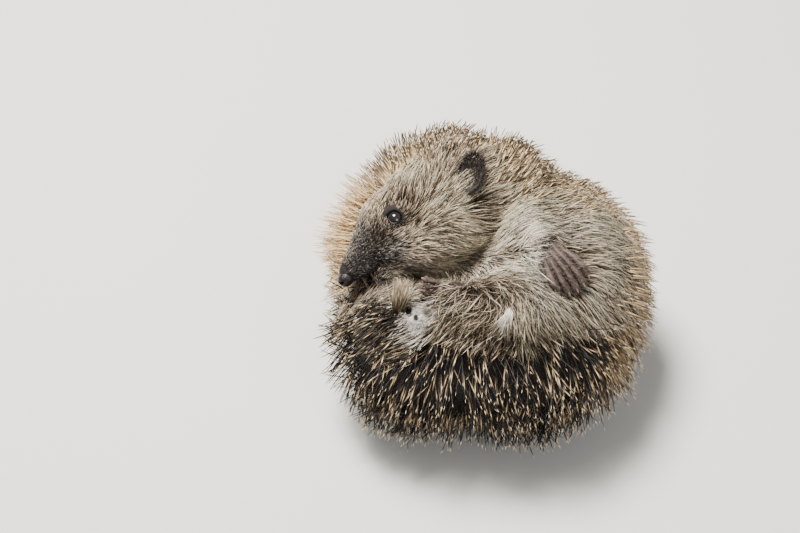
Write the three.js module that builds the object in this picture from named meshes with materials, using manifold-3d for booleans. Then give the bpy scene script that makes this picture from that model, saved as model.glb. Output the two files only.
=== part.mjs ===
// Hedgehog (Erinaceus europaeus, first-year animal) curled on its right side, life size.
// Millimetres, +Z up. Every flesh node is a closed solid out to the tips of its coat.
import * as THREE from "three";
import { mergeVertices } from "three/addons/utils/BufferGeometryUtils.js";
import Module from "manifold-3d";

const wasm = await Module();
wasm.setup();

// ---------------------------------------------------------------- driving dimensions
const GROUND = -6.0; // height of the floor, where the coat underneath is pressed flat
const SHIFT = [1.68, -1.11]; // centres the object over its origin
const GAP = 0.3; // clearance between neighbouring solids
const SPINE_DEPTH = 9.5; // how far the leaning spines stand off the skin of the trunk
const HOOD_DEPTH = 8.0; // the same on the hood behind the face
const HOOD_EXTRA = 4.0; // added on the far side of the hood
const BRIM_EXTRA = 2.8; // and beyond it, where the brim of the hood reaches past the brow
const FLANK_FUR = 5.5; // fur depth on flank and belly
const FACE_FUR = 3.0; // extra fur depth on the cheeks
const SNOUT_FUR = 0.6; // fur depth on the snout
const SKIN_FUR = 0.4; // down on the feet
const EYE_R = 2.75;

// ---------------------------------------------------------------- small vector tools
const V = (x, y, z) => new THREE.Vector3(x, y, z);
const clamp = (x, a, b) => Math.min(Math.max(x, a), b);
const ease = (a, b, x) => {
  const t = clamp((x - a) / (b - a), 0, 1);
  return t * t * (3 - 2 * t);
};
const smax = (a, b, k) => -smin(-a, -b, k);
const smin = (a, b, k) => {
  const h = Math.max(k - Math.abs(a - b), 0) / k;
  return Math.min(a, b) - h * h * k * 0.25;
};

// Signed distance to an ellipsoid, whose local axes are the rows of M when given.
function ell(p, c, r, M) {
  let x = p.x - c.x,
    y = p.y - c.y,
    z = p.z - c.z;
  if (M) [x, y, z] = M.map((a) => a.x * x + a.y * y + a.z * z);
  const k0 = Math.hypot(x / r[0], y / r[1], z / r[2]);
  const k1 =
    Math.hypot(x / r[0] ** 2, y / r[1] ** 2, z / r[2] ** 2) + 1e-9;
  return (k0 * (k0 - 1)) / k1;
}
// Signed distance to a limb segment that tapers from ra at a to rb at b.
function taper(p, a, b, ra, rb) {
  const ba = b.clone().sub(a);
  const h = clamp(p.clone().sub(a).dot(ba) / ba.dot(ba), 0, 1);
  return p.distanceTo(a.clone().addScaledVector(ba, h)) - (ra + h * (rb - ra));
}

// ---------------------------------------------------------------- the head's own frame
const FWD = V(-0.78, -0.55, -0.3).normalize(); // towards the nose
const LEFT = V(0.03, -0.51, 0.86);
LEFT.addScaledVector(FWD, -LEFT.dot(FWD)).normalize(); // the animal's left
const CROWN = FWD.clone().cross(LEFT); // towards the crown
const HEAD_AT = V(-7.8, 23.0, 56.4); // midway between the ear openings
const HEAD_AXES = [FWD, CROWN, LEFT];
const hp = (f, d, l) =>
  HEAD_AT.clone()
    .addScaledVector(FWD, f)
    .addScaledVector(CROWN, d)
    .addScaledVector(LEFT, l);
const inHead = (p) => {
  const q = p.clone().sub(HEAD_AT);
  return { f: q.dot(FWD), d: q.dot(CROWN), l: q.dot(LEFT) };
};

// ---------------------------------------------------------------- skin shapes
const TILT = (52 * Math.PI) / 180; // the belly side faces up and forward at this slope
const VIEW_AXES = [V(1, 0, 0), V(0, Math.sin(TILT), Math.cos(TILT)), V(0, -Math.cos(TILT), Math.sin(TILT))];
const BELLY_AT = V(-19.4, -17.3, 56.2); // middle of the hollow between chin and thigh
const THIGH = [V(7.3, -22.5, 48.3), V(-11.8, -20.3, 47.5)]; // hip to knee
const TAIL = [V(-30.9, -22.1, 46.1), V(-28.9, -12.5, 53.6)]; // root to tip
const EYES = { left: hp(25.7, 6.4, 9.6), right: hp(25.9, 6.4, -11.0) };

function head(p) {
  const h = (f, d, l, r) => ell(p, hp(f, d, l), r, HEAD_AXES);
  let s = h(4, -1.5, 0, [18.5, 16, 15]); // skull
  s = smin(s, h(20, 2.6, 0, [17, 12.6, 11.5]), 8); // face
  s = smin(s, h(16, -7, 0, [17, 9, 12]), 6); // cheeks
  s = smin(s, h(8, 7, -7.5, [17, 11, 9]), 6); // hood, drawn over the right side
  return smin(s, taper(p, hp(29, 7.4, 0), hp(48, 3.0, 0), 8.3, 3.4), 7); // snout
}
const jaw = (p) => taper(p, hp(18, -8.5, 0), hp(38.6, -6.2, 0), 7, 3.4);
const nose = (p) => ell(p, hp(50.2, 1.9, 0), [3.1, 2.7, 3.0], HEAD_AXES);
function trunk(p) {
  let s = ell(p, V(1, 0, 27), [41, 39, 27]); // the bag of the rolled-up body
  s = smin(s, ell(p, V(-21, -18, 26), [24, 22, 23]), 10); // end of the rump
  s = smin(s, ell(p, V(10, -20, 27), [29, 21, 25]), 10); // rump
  s = smin(s, ell(p, V(22, 2, 32), [24, 26, 26]), 10); // back
  s = smin(s, ell(p, V(2, 19, 33), [28, 20, 24]), 10); // shoulders
  s = smin(s, ell(p, V(-23, 18, 24), [21, 26, 21]), 10); // skirt under the head
  s = smin(s, ell(p, V(19, 7, 41), [22, 18, 16]), 8); // left flank
  s = smin(s, ell(p, V(-3, 6, 41), [20, 15, 15]), 8); // chest
  s = smax(s, -ell(p, BELLY_AT, [27, 9, 15], VIEW_AXES), 5); // hollow the hind foot lies in
  s = smax(s, -ell(p, hp(17, -4, 14), [31, 22, 15], HEAD_AXES), 5); // hollow the head lies in
  return smin(s, taper(p, hp(-7, -6, 0), V(0, 20, 40), 12.5, 13), 6); // neck
}
const thigh = (p) =>
  smin(ell(p, THIGH[0], [17, 9, 10]), taper(p, THIGH[0], THIGH[1], 8, 6), 5);
const forearm = (p) => taper(p, V(12, 11, 53), V(17.5, -3.6, 59), 7.5, 5);
const tail = (p) => taper(p, TAIL[0], TAIL[1], 1.7, 0.7);

// ---------------------------------------------------------------- coat depth over the skin
// The fur shows inside an oval opening of the spiny coat, which faces up and to the front.
const OPENING = { x: 3, u: 11, rx: 41, ru: 33, height: 38 };
function spineShare(p) {
  const z = p.z - OPENING.height;
  const u = Math.sin(TILT) * p.y + Math.cos(TILT) * z;
  const t = -Math.cos(TILT) * p.y + Math.sin(TILT) * z;
  const q = Math.hypot((p.x - OPENING.x) / OPENING.rx, (u - OPENING.u) / OPENING.ru);
  return Math.max(ease(0.75, 1.15, q), 1 - ease(-12, 6, t));
}
// Spines of the hood stand out furthest, above and beside the far side of the head.
const farSide = (p) => {
  const u = Math.sin(TILT) * p.y + Math.cos(TILT) * (p.z - OPENING.height);
  return ease(40, 56, 0.62 * u - 0.78 * p.x);
};
const brim = (p) => HOOD_EXTRA + BRIM_EXTRA * ease(18, 38, -p.x);
function hoodShare(p) {
  const { f, d, l } = inHead(p);
  return Math.max(
    ease(-6, 7, d - (12 + 0.9 * Math.max(f - 4, 0))) * (1 - ease(8, 24, f)),
    ease(1, 9, -l) * ease(2, 9, d) * (1 - ease(14, 27, f)),
  );
}
const RUMP_BARE = V(-25, -17.9, 49.4); // thinly haired skin round the tail and the hind feet
// The coat parts round the ear on the far side.
const FAR_EAR = hp(-3, 11, -16);
const parting = (p) => 0.35 + 0.65 * ease(5, 16, p.distanceTo(FAR_EAR));
function trunkCoat(p) {
  const { f, d, l } = inHead(p);
  const pressed =
    (1 - ease(3, 15, smin(head(p), jaw(p), 3))) *
    Math.max(ease(-9, 1, l), ease(-2, 6, d) * ease(-22, -12, l)) *
    ease(-12, 4, f);
  return (
    (FLANK_FUR + (SPINE_DEPTH + brim(p) * farSide(p) - FLANK_FUR) * spineShare(p)) *
    (0.12 + 0.88 * ease(4, 24, p.distanceTo(RUMP_BARE))) *
    parting(p) *
    (1 - 0.85 * pressed)
  );
}
function headCoat(p) {
  const { f, l } = inHead(p);
  let c = SNOUT_FUR + FACE_FUR * (1 - ease(14, 42, f));
  c += (HOOD_DEPTH + brim(p) * ease(0, 12, -l) - c) * hoodShare(p);
  c *= parting(p);
  for (const e of [EYES.left, EYES.right])
    c *= 0.12 + 0.88 * ease(3.2, 7.5, p.distanceTo(e));
  return c;
}

// ---------------------------------------------------------------- solids
const asGeometry = (solid) => {
  const m = solid.getMesh(),
    n = m.numProp,
    v = new Float32Array(m.numVert * 3);
  for (let i = 0; i < m.numVert; i++)
    v.set(m.vertProperties.subarray(i * n, i * n + 3), i * 3);
  const g = new THREE.BufferGeometry()
    .setAttribute("position", new THREE.BufferAttribute(v, 3))
    .setIndex(new THREE.BufferAttribute(m.triVerts, 1));
  g.computeVertexNormals();
  return g;
};
const asSolid = (geometry) => {
  const g = geometry.clone();
  for (const k of ["normal", "uv"]) g.deleteAttribute(k);
  const m = mergeVertices(g, 1e-4);
  return new wasm.Manifold(
    new wasm.Mesh({
      numProp: 3,
      vertProperties: m.attributes.position.array,
      triVerts: new Uint32Array(m.index.array),
    }),
  );
};
// A sphere whose points are moved out from its centre to the surface where skin(p) = depth(p).
// pole is the direction of its poles, and long stretches it along that pole, for even facets.
function grow(skin, depth, centre, pole, around, along, long = 1) {
  const g = new THREE.SphereGeometry(1, around, along);
  for (const k of ["normal", "uv"]) g.deleteAttribute(k);
  const m = mergeVertices(g, 1e-5);
  const turn = new THREE.Quaternion().setFromUnitVectors(
    V(0, 1, 0),
    pole.clone().normalize(),
  );
  const at = m.attributes.position;
  for (let i = 0; i < at.count; i++) {
    const dir = V(at.getX(i), at.getY(i) * long, at.getZ(i))
      .normalize()
      .applyQuaternion(turn);
    const off = (s) => {
      const p = centre.clone().addScaledVector(dir, s);
      return skin(p) - depth(p);
    };
    let s = 0;
    for (let n = 0; n < 400; n++) {
      const d = off(s);
      if (d > 0) break;
      s += Math.max(-d * 0.6, 0.04);
    }
    let lo = Math.max(s - 3, 0),
      hi = s;
    if (off(lo) > 0) lo = 0;
    for (let n = 0; n < 26; n++) {
      const mid = (lo + hi) / 2;
      if (off(mid) > 0) hi = mid;
      else lo = mid;
    }
    const p = centre.clone().addScaledVector(dir, (lo + hi) / 2);
    at.setXYZ(i, p.x, p.y, p.z);
  }
  return asSolid(m);
}
const largest = (solid) => {
  const bodies = solid.decompose();
  if (bodies.some((b) => b.volume() < 0)) throw new Error("a cut left a sealed cavity");
  return bodies.sort((a, b) => b.volume() - a.volume())[0];
};
// A solid and the same solid grown by the gap, which cuts its neighbours.
function pair(skin, depth, ...how) {
  return {
    solid: grow(skin, depth, ...how),
    cutter: grow(skin, (p) => depth(p) + GAP, ...how),
  };
}
const cut = (solid, ...cutters) =>
  largest(cutters.reduce((s, c) => s.subtract(c.cutter || c), solid));

const Z = V(0, 0, 1);
const flat = (depth) => () => depth;
const mid = (a, b) => a.clone().lerp(b, 0.5);
const along = (a, b) => b.clone().sub(a);

const noseP = pair(nose, flat(0.0), hp(50.2, 1.9, 0), FWD, 10, 7);
const eyeOf = (c) => {
  const ball = (r) => asSolid(new THREE.SphereGeometry(r, 12, 8).translate(c.x, c.y, c.z));
  return { solid: ball(EYE_R), cutter: ball(EYE_R + GAP) };
};
const eyeL = eyeOf(EYES.left),
  eyeR = eyeOf(EYES.right);
const jawP = pair(jaw, flat(1.0), hp(30, -7, 0), FWD, 10, 8, 2);
const headP = pair(head, headCoat, hp(16, 1, 0), FWD, 20, 15, 1.6);

// ears: shallow oval dishes. The left one lies back in the fur, the right one stands out of it.
// up runs from root to tip and out is the way the hollow faces. size is half height, width, depth.
function ear(centre, up, out, size) {
  const frame = new THREE.Matrix4().makeBasis(up, out.clone().cross(up).normalize(), out);
  const lobe = (at, r, around, rings) =>
    asSolid(
      new THREE.SphereGeometry(1, around, rings)
        .scale(...r)
        .applyMatrix4(frame)
        .translate(at.x, at.y, at.z),
    );
  const grown = (g) => lobe(centre, size.map((r) => r + g), 12, 6);
  const bowl = centre.clone().addScaledVector(out, size[2] * 0.85).addScaledVector(up, size[0] * 0.06);
  return {
    solid: grown(0).subtract(lobe(bowl, [size[0] * 0.76, size[1] * 0.74, size[2] * 0.95], 10, 6)),
    cutter: grown(GAP),
  };
}
const earUpL = FWD.clone().multiplyScalar(-0.73).addScaledVector(CROWN, 0.68).normalize();
const earOutL = LEFT.clone().addScaledVector(FWD, 0.35);
earOutL.addScaledVector(earUpL, -earOutL.dot(earUpL)).normalize();
const earUpR = CROWN.clone().multiplyScalar(0.85).addScaledVector(FWD, -0.5).normalize();
const earOutR = LEFT.clone().multiplyScalar(-0.9).addScaledVector(FWD, 0.35);
earOutR.addScaledVector(earUpR, -earOutR.dot(earUpR)).normalize();
const earL = ear(hp(-2.6, 1.5, 17.2), earUpL, earOutL, [8.4, 5.4, 2.8]);
const earR = ear(hp(-3.5, 13, -17.3), earUpR, earOutR, [8.4, 5.4, 2.8]);

const thighL = pair(thigh, flat(4), V(3, -22, 48.1), V(1, 0, 0), 12, 10, 1.6);
const foreArmL = pair(forearm, flat(4), V(14.7, 3.7, 56), V(5.5, -14.6, 6), 9, 6, 1.6);
const foreArmR = pair(
  (p) => taper(p, V(-2, 9, 43), V(-11, 4, 42), 6.5, 4.6),
  flat(1.0), V(-6.5, 6.5, 42.5), V(-9, -5, -1), 9, 6, 1.4);

// A foot: a tapered sole from heel to ball, and five toes fanned over its end, each with its claw.
// across points from the inner toe to the outer one.
function foot(heel, ball, rHeel, rBall, across, toe) {
  const ahead = along(heel, ball).normalize();
  const side = across.clone().addScaledVector(ahead, -across.dot(ahead)).normalize();
  const build = (gap) => {
    let f = grow(
      (p) => taper(p, heel, ball, rHeel, rBall),
      flat(SKIN_FUR + gap), mid(heel, ball), ahead, 9, 7, 1.8);
    for (let k = -2; k <= 2; k++) {
      const dir = ahead.clone().addScaledVector(side, k * 0.1).normalize();
      const length = toe * (1 - 0.07 * k * k);
      const turn = new THREE.Quaternion().setFromUnitVectors(Z, dir);
      const root = ball.clone().addScaledVector(side, k * rBall * 0.42).addScaledVector(ahead, rBall * 0.45);
      f = f.add(
        asSolid(
          new THREE.SphereGeometry(1, 6, 5)
            .rotateX(Math.PI / 2)
            .scale(rBall * 0.4 + gap, rBall * 0.4 + gap, length + gap)
            .applyQuaternion(turn)
            .translate(root.x, root.y, root.z),
        ),
      );
    }
    return f;
  };
  return { solid: build(0), cutter: build(GAP) };
}
const hindFootL = foot(V(-5.5, -15.5, 50), V(-17.5, -13.1, 47.7), 4, 3.6, V(0, -0.6, -0.8), 5.4);
const foreFootL = foot(V(18.3, -6.3, 63), V(22.8, -12.7, 60.5), 4.4, 5.2, V(1, 0.5, 0.3), 8);
const foreFootR = foot(V(-13, 3, 42), V(-22, -3.6, 39.6), 4.2, 3.8, V(0, 0.5, 0.8), 5.6);
const hindFootR = foot(V(-17, -13, 38), V(-29.5, -6, 36.2), 3.8, 3.4, V(0.3, 0.4, 0.8), 5.2);
const tailP = pair(tail, flat(1.0), mid(...TAIL), along(...TAIL), 8, 7, 3);

const trunkSolid = grow(trunk, trunkCoat, V(1, 1, 28), Z, 36, 20, 0.85);
const FAR = 120;
const floorCut = asSolid(
  new THREE.BoxGeometry(2 * FAR, 2 * FAR, 60).translate(0, 0, GROUND - 30),
);

// A wedge of the space round the vertical axis through (cx, cy), between two directions.
function sector(cx, cy, from, to) {
  const mid = ((from + to) / 2) * (Math.PI / 180);
  const inset = GAP / 2 / Math.sin(((to - from) / 2) * (Math.PI / 180));
  const shape = new THREE.Shape();
  shape.moveTo(inset * Math.cos(mid), inset * Math.sin(mid));
  for (let k = 0; k <= 6; k++) {
    const a = (from + ((to - from) * k) / 6) * (Math.PI / 180);
    shape.lineTo(
      inset * Math.cos(mid) + FAR * Math.cos(a),
      inset * Math.sin(mid) + FAR * Math.sin(a),
    );
  }
  return asSolid(
    new THREE.ExtrudeGeometry(shape, { depth: 160, bevelEnabled: false }).translate(cx, cy, GROUND),
  );
}

const feet = [foreFootL, foreArmL, thighL, hindFootL, foreFootR, foreArmR, hindFootR, tailP];
const torso = cut(trunkSolid, floorCut, headP, jawP, noseP, eyeR, eyeL, earL, earR, ...feet);
// The neck is the part of the torso inside a round collar behind the head.
const collar = (grown) =>
  grow(
    (p) => taper(p, hp(4, -4, 0), hp(-9, -8, 0), 22, 22),
    flat(grown), hp(-2, -6, 0), FWD, 12, 8, 1.2);
const body = torso.subtract(collar(GAP));
const parts = {
  shoulders: largest(body.intersect(sector(-2, -2, 62, 196))),
  back: largest(body.intersect(sector(-2, -2, -62, 62))),
  rump: largest(body.intersect(sector(-2, -2, 196, 298))),
  neck: largest(torso.intersect(collar(0))),
  head: cut(headP.solid, eyeL, eyeR, noseP, jawP, earL, earR),
  lower_jaw: cut(jawP.solid, noseP),
  nose: noseP.solid,
  eye_left: eyeL.solid,
  eye_right: eyeR.solid,
  ear_left: earL.solid,
  ear_right: earR.solid,
  foreleg_left: cut(foreArmL.solid, foreFootL, headP),
  forefoot_left: foreFootL.solid,
  foreleg_right: cut(foreArmR.solid, foreArmL, foreFootR, headP, jawP),
  forefoot_right: cut(foreFootR.solid, headP, jawP, hindFootL, hindFootR),
  hindleg_left: cut(thighL.solid, hindFootL, tailP, headP, jawP, foreFootL, hindFootR),
  hindfoot_left: cut(hindFootL.solid, headP, jawP),
  hindfoot_right: cut(hindFootR.solid, headP, jawP, tailP, hindFootL, thighL),
  tail: cut(tailP.solid, headP, jawP, hindFootL),
};

const LOOK = {
  spines: { color: 0x6b5a4a, roughness: 0.6 },
  fur: { color: 0xa89c88, roughness: 0.85 },
  snout: { color: 0x3f3834, roughness: 0.8 },
  skin: { color: 0x5a4c4a, roughness: 0.6 },
  ear: { color: 0x4b4340, roughness: 0.8 },
  eye: { color: 0x0b0a0c, roughness: 0.08 },
  nose: { color: 0x141212, roughness: 0.25 },
};
const WEARS = {
  shoulders: "spines", back: "spines", rump: "spines", neck: "fur", head: "fur",
  lower_jaw: "fur", nose: "nose", eye_left: "eye", eye_right: "eye", ear_left: "ear",
  ear_right: "ear", foreleg_left: "fur", forefoot_left: "skin", foreleg_right: "fur",
  forefoot_right: "skin", hindleg_left: "fur", hindfoot_left: "skin",
  hindfoot_right: "skin", tail: "skin",
};

const hedgehog = new THREE.Group();
hedgehog.position.set(SHIFT[0], SHIFT[1], -GROUND);
for (const [name, solid] of Object.entries(parts)) {
  const mesh = new THREE.Mesh(
    asGeometry(solid),
    new THREE.MeshStandardMaterial({ ...LOOK[WEARS[name]], metalness: 0 }),
  );
  mesh.name = name;
  hedgehog.add(mesh);
}

export default hedgehog;
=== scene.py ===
import math
import bpy
import numpy as np
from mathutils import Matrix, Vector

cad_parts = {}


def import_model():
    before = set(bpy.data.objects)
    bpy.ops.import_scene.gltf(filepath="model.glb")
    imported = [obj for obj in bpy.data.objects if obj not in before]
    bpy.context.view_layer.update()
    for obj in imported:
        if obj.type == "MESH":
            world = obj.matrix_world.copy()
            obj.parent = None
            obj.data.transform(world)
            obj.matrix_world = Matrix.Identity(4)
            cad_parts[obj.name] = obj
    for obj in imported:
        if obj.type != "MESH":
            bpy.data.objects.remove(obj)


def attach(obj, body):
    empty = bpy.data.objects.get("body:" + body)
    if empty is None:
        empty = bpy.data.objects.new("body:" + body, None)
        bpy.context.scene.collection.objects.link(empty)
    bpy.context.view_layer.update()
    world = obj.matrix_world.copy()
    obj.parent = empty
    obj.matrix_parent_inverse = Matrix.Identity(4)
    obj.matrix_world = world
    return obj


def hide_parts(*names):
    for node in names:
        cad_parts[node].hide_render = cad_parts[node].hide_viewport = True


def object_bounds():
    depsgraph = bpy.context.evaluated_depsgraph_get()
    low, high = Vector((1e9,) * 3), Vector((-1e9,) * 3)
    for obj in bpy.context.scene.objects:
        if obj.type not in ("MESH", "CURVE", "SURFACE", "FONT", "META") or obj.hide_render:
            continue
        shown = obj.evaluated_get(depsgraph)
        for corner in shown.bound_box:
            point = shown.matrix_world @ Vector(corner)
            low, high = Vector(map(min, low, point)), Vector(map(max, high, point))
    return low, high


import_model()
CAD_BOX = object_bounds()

# Young European hedgehog curled on its right side. Shapes are worked out in millimetres in the
# modelling frame of the solids, then moved to the object's frame in metres.
GROUND = -6.0
SHIFT = np.array([1.68, -1.11, -GROUND])
f32 = np.float32


def world(P):
    return (np.asarray(P, float) + SHIFT) / 1000.0


def unit(v):
    v = np.asarray(v, float)
    return v / (np.linalg.norm(v, axis=-1, keepdims=True) + 1e-12)


def step(a, b, x):
    t = np.clip((x - a) / (b - a), 0, 1)
    return t * t * (3 - 2 * t)


def smin(a, b, k):
    h = np.maximum(k - np.abs(a - b), 0) / k
    return np.minimum(a, b) - h * h * k * 0.25


def smax(a, b, k):
    return -smin(-a, -b, k)


def ell(P, c, r, M=None):
    q = P - np.asarray(c, f32)
    if M is not None:
        q = q @ M.T
    r = np.asarray(r, f32)
    a = q / r
    k0 = np.sqrt(np.einsum("ij,ij->i", a, a))
    a = a / r
    k1 = np.sqrt(np.einsum("ij,ij->i", a, a)) + 1e-9
    return k0 * (k0 - 1) / k1


def cone(P, a, b, ra, rb):
    a = np.asarray(a, f32)
    b = np.asarray(b, f32)
    ba = b - a
    q = P - a
    h = np.clip(q @ ba / (ba @ ba), 0, 1)
    q = q - h[:, None] * ba
    return np.sqrt(np.einsum("ij,ij->i", q, q)) - (ra + h * (rb - ra))


def dist(P, c):
    q = P - np.asarray(c, f32)
    return np.sqrt(np.einsum("ij,ij->i", q, q))


# ------------------------------------------------------------------ smooth random fields
_rng0 = np.random.default_rng(5)
_LAT = _rng0.random((32, 32, 32)).astype(f32)


def noise(P, size, seed=0):
    """Smooth value noise from -1 to 1 with cells of the given size in mm."""
    q = np.asarray(P, f32) / size + np.array([13.7, 5.3, 9.1], f32) * (1 + seed)
    i = np.floor(q).astype(int)
    f = (q - i).astype(f32)
    f = f * f * (3 - 2 * f)
    out = np.zeros(len(q), f32)
    for dx in (0, 1):
        wx = f[:, 0] if dx else 1 - f[:, 0]
        for dy in (0, 1):
            wy = f[:, 1] if dy else 1 - f[:, 1]
            for dz in (0, 1):
                wz = f[:, 2] if dz else 1 - f[:, 2]
                out += wx * wy * wz * _LAT[(i[:, 0] + dx) & 31, (i[:, 1] + dy) & 31, (i[:, 2] + dz) & 31]
    return out * 2 - 1


# ------------------------------------------------------------------ view and head frames
TILT = math.radians(52)
VR = np.array([1, 0, 0], f32)
VU = np.array([0, math.sin(TILT), math.cos(TILT)], f32)
VT = np.array([0, -math.cos(TILT), math.sin(TILT)], f32)
VIEW = np.stack([VR, VU, VT])
MID = np.array([0, 0, 38], f32)
LENS, SENSOR, FAR = 90.0, 36.0, 680.0
PX = 800 * LENS / SENSOR
EYE_POINT = MID + VT * FAR - VR * (88 * FAR / PX) + VU * (11.5 * FAR / PX)

FWD = unit([-0.78, -0.55, -0.30])
LEFT = np.array([0.03, -0.51, 0.86])
LEFT = unit(LEFT - FWD * (LEFT @ FWD))
CROWN = np.cross(FWD, LEFT)
HEAD = np.stack([FWD, CROWN, LEFT]).astype(f32)
HEAD_AT = np.array([-7.8, 23.0, 56.4])


def hp(f, d, l):
    return HEAD_AT + f * FWD + d * CROWN + l * LEFT


def in_head(P):
    q = (P - HEAD_AT.astype(f32)) @ HEAD.T
    return q[:, 0], q[:, 1], q[:, 2]


def in_view(P):
    q = (P - MID) @ VIEW.T
    return q[:, 0], q[:, 1], q[:, 2]


def sight(px, py, t):
    """The point at depth t (mm towards the viewer from the middle) on the line of sight px, py."""
    z = FAR - t
    return EYE_POINT - VT * z + VR * (px - 400) * z / PX - VU * (py - 266.5) * z / PX


# ------------------------------------------------------------------ body shapes
EYE_R = 2.75
EYE_L = hp(25.7, 6.4, 9.6)
EYE_FAR = hp(25.9, 6.4, -11.0)
FAR_EAR = hp(-3, 11, -16)
HOLLOW = np.array([-19.4, -17.3, 56.2])
THIGH = np.array([[7.3, -22.5, 48.3], [-11.8, -20.3, 47.5]])
TAIL = np.array([[-30.9, -22.1, 46.1], [-28.9, -12.5, 53.6]])
RUMP_BARE = np.array([-25, -17.9, 49.4])

EAR_UP = unit(-0.73 * FWD + 0.68 * CROWN)
_o = LEFT + 0.35 * FWD
EAR_OUT = unit(_o - EAR_UP * (_o @ EAR_UP))
EAR_AT = hp(-2.6, 1.5, 17.0)
EAR_H, EAR_W = 7.0, 4.1
EAR2_UP = unit(0.85 * CROWN - 0.5 * FWD)
_o = -0.9 * LEFT + 0.35 * FWD
EAR2_OUT = unit(_o - EAR2_UP * (_o @ EAR2_UP))
EAR2_AT = hp(-3.5, 13, -17.2)

FEET = {
    # heel, ball, r heel, r ball, across the toes, toe length
    "fore_left": ((18.3, -6.3, 63.0), (22.8, -12.7, 60.5), 4.4, 5.2, (1, 0.5, 0.3), 8.0),
    "hind_left": ((-5.5, -15.5, 50), (-17.5, -13.1, 47.7), 4.0, 3.6, (0, -0.6, -0.8), 5.2),
    "fore_right": ((-13, 3, 42), (-22, -3.6, 39.6), 4.2, 3.8, (0, 0.5, 0.8), 5.4),
    "hind_right": ((-17, -13, 38), (-29.5, -6, 36.2), 3.8, 3.4, (0.3, 0.4, 0.8), 5.0),
}


def head_shape(P):
    h = lambda f, d, l, r: ell(P, hp(f, d, l), r, HEAD)
    s = h(4, -1.5, 0, (18.5, 16, 15))
    s = smin(s, h(20, 2.6, 0, (17, 12.6, 11.5)), 8)
    s = smin(s, h(16, -7, 0, (17, 9, 12)), 6)
    s = smin(s, h(8, 7, -7.5, (17, 11, 9)), 6)
    s = smin(s, cone(P, hp(29, 7.4, 0), hp(48, 3.0, 0), 8.3, 3.4), 7)
    pads = np.minimum(ell(P, hp(42.5, 2.0, 1.9), (6.0, 3.0, 2.4), HEAD), ell(P, hp(42.5, 2.0, -1.9), (6.0, 3.0, 2.4), HEAD))
    return smin(s, pads, 1.5)


def jaw_shape(P):
    return cone(P, hp(18, -8.5, 0), hp(38.6, -6.2, 0), 7, 3.4)


def trunk_shape(P):
    s = ell(P, (1, 0, 27), (41, 39, 27))
    s = smin(s, ell(P, (-21, -18, 26), (24, 22, 23)), 10)
    s = smin(s, ell(P, (10, -20, 27), (29, 21, 25)), 10)
    s = smin(s, ell(P, (22, 2, 32), (24, 26, 26)), 10)
    s = smin(s, ell(P, (2, 19, 33), (28, 20, 24)), 10)
    s = smin(s, ell(P, (-23, 18, 24), (21, 26, 21)), 10)
    s = smin(s, ell(P, (19, 7, 41), (22, 18, 16)), 8)
    s = smin(s, ell(P, (-3, 6, 41), (20, 15, 15)), 8)
    s = smax(s, -ell(P, HOLLOW, (27, 9, 15), VIEW), 5)
    s = smax(s, -ell(P, hp(17, -4, 14), (31, 22, 15), HEAD), 5)
    return smin(s, cone(P, hp(-7, -6, 0), (0, 20, 40), 12.5, 13), 6)


def thigh_shape(P):
    return smin(ell(P, THIGH[0], (17, 9, 10)), cone(P, THIGH[0], THIGH[1], 8, 6), 5)


def arm_shape(P):
    return cone(P, (12, 11, 53), (17.5, -3.6, 59), 7.5, 5)


def tail_shape(P):
    return cone(P, TAIL[0], TAIL[1], 1.7, 0.7)


def foot_frame(name):
    heel, ball, rh, rb, across, toe = FEET[name]
    heel, ball = np.array(heel, float), np.array(ball, float)
    ahead = unit(ball - heel)
    side = np.array(across, float)
    side = unit(side - ahead * (side @ ahead))
    up = np.cross(ahead, side)
    centre = (heel + ball) / 2
    out = centre - np.array([0, 0, 27.0])
    if up @ out < 0:
        up = -up
    return heel, ball, rh, rb, ahead, side, up, toe


def toe_lines(name):
    """Points down each toe: root, knuckle, end joint and where the claw starts."""
    heel, ball, rh, rb, ahead, side, up, toe = foot_frame(name)
    w = rb / 4.5
    lines = []
    for k in range(-2, 3):
        short = 1 - 0.06 * k * k
        root = ball - ahead * 2.2 * w + side * k * 1.55 * w + up * 1.2 * w
        knuckle = ball + ahead * (1.6 * w * short) + side * k * 2.1 * w + up * (2.0 - 0.25 * abs(k)) * w
        joint = ball + ahead * (0.62 * toe * short) + side * k * 2.4 * w + up * 1.3 * w
        tip = ball + ahead * (toe * short) + side * k * 2.45 * w - up * 0.5 * w
        lines.append((root, knuckle, joint, tip))
    return lines


_TOES = {n: toe_lines(n) for n in FEET}


def foot_shape(P, name, far):
    """The foot's distance where P is near it, and far elsewhere."""
    heel, ball, rh, rb, ahead, side, up, toe = foot_frame(name)
    c = (heel + ball) / 2 + ahead * 3
    near = dist(P, c) < 20
    out = np.full(len(P), far, f32)
    if near.any():
        Q = P[near]
        w = rb / 4.5
        s = smin(cone(Q, heel, (heel + ball) / 2, rh * 0.92, rb * 0.78), cone(Q, (heel + ball) / 2, ball, rb * 0.78, rb * 0.7), 2)
        s = smax(s, (Q - ball.astype(f32)) @ up.astype(f32) - 1.4 * w, 1.5)
        first = np.full(len(Q), 40.0, f32)
        second = first.copy()
        for root, knuckle, joint, tip in _TOES[name]:
            e = cone(Q, root - ahead * 3.5, tip, 0, 0)
            first, second = np.minimum(first, e), np.minimum(second, np.maximum(first, e))
            t = smin(cone(Q, root, knuckle, 1.15 * w, 1.25 * w), cone(Q, knuckle, joint, 1.25 * w, 1.12 * w), 0.4)
            t = smin(t, cone(Q, joint, tip, 1.15 * w, 0.95 * w), 0.3)
            t = smin(t, ell(Q, tip - up * 0.5 * w, (1.2 * w,) * 3), 0.4)
            s = smin(s, t, 0.3)
        out[near] = s + 0.5 * w * np.exp(-(((second - first) / 0.5) ** 2)) * (first < 3 * w)
    return out


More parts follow.
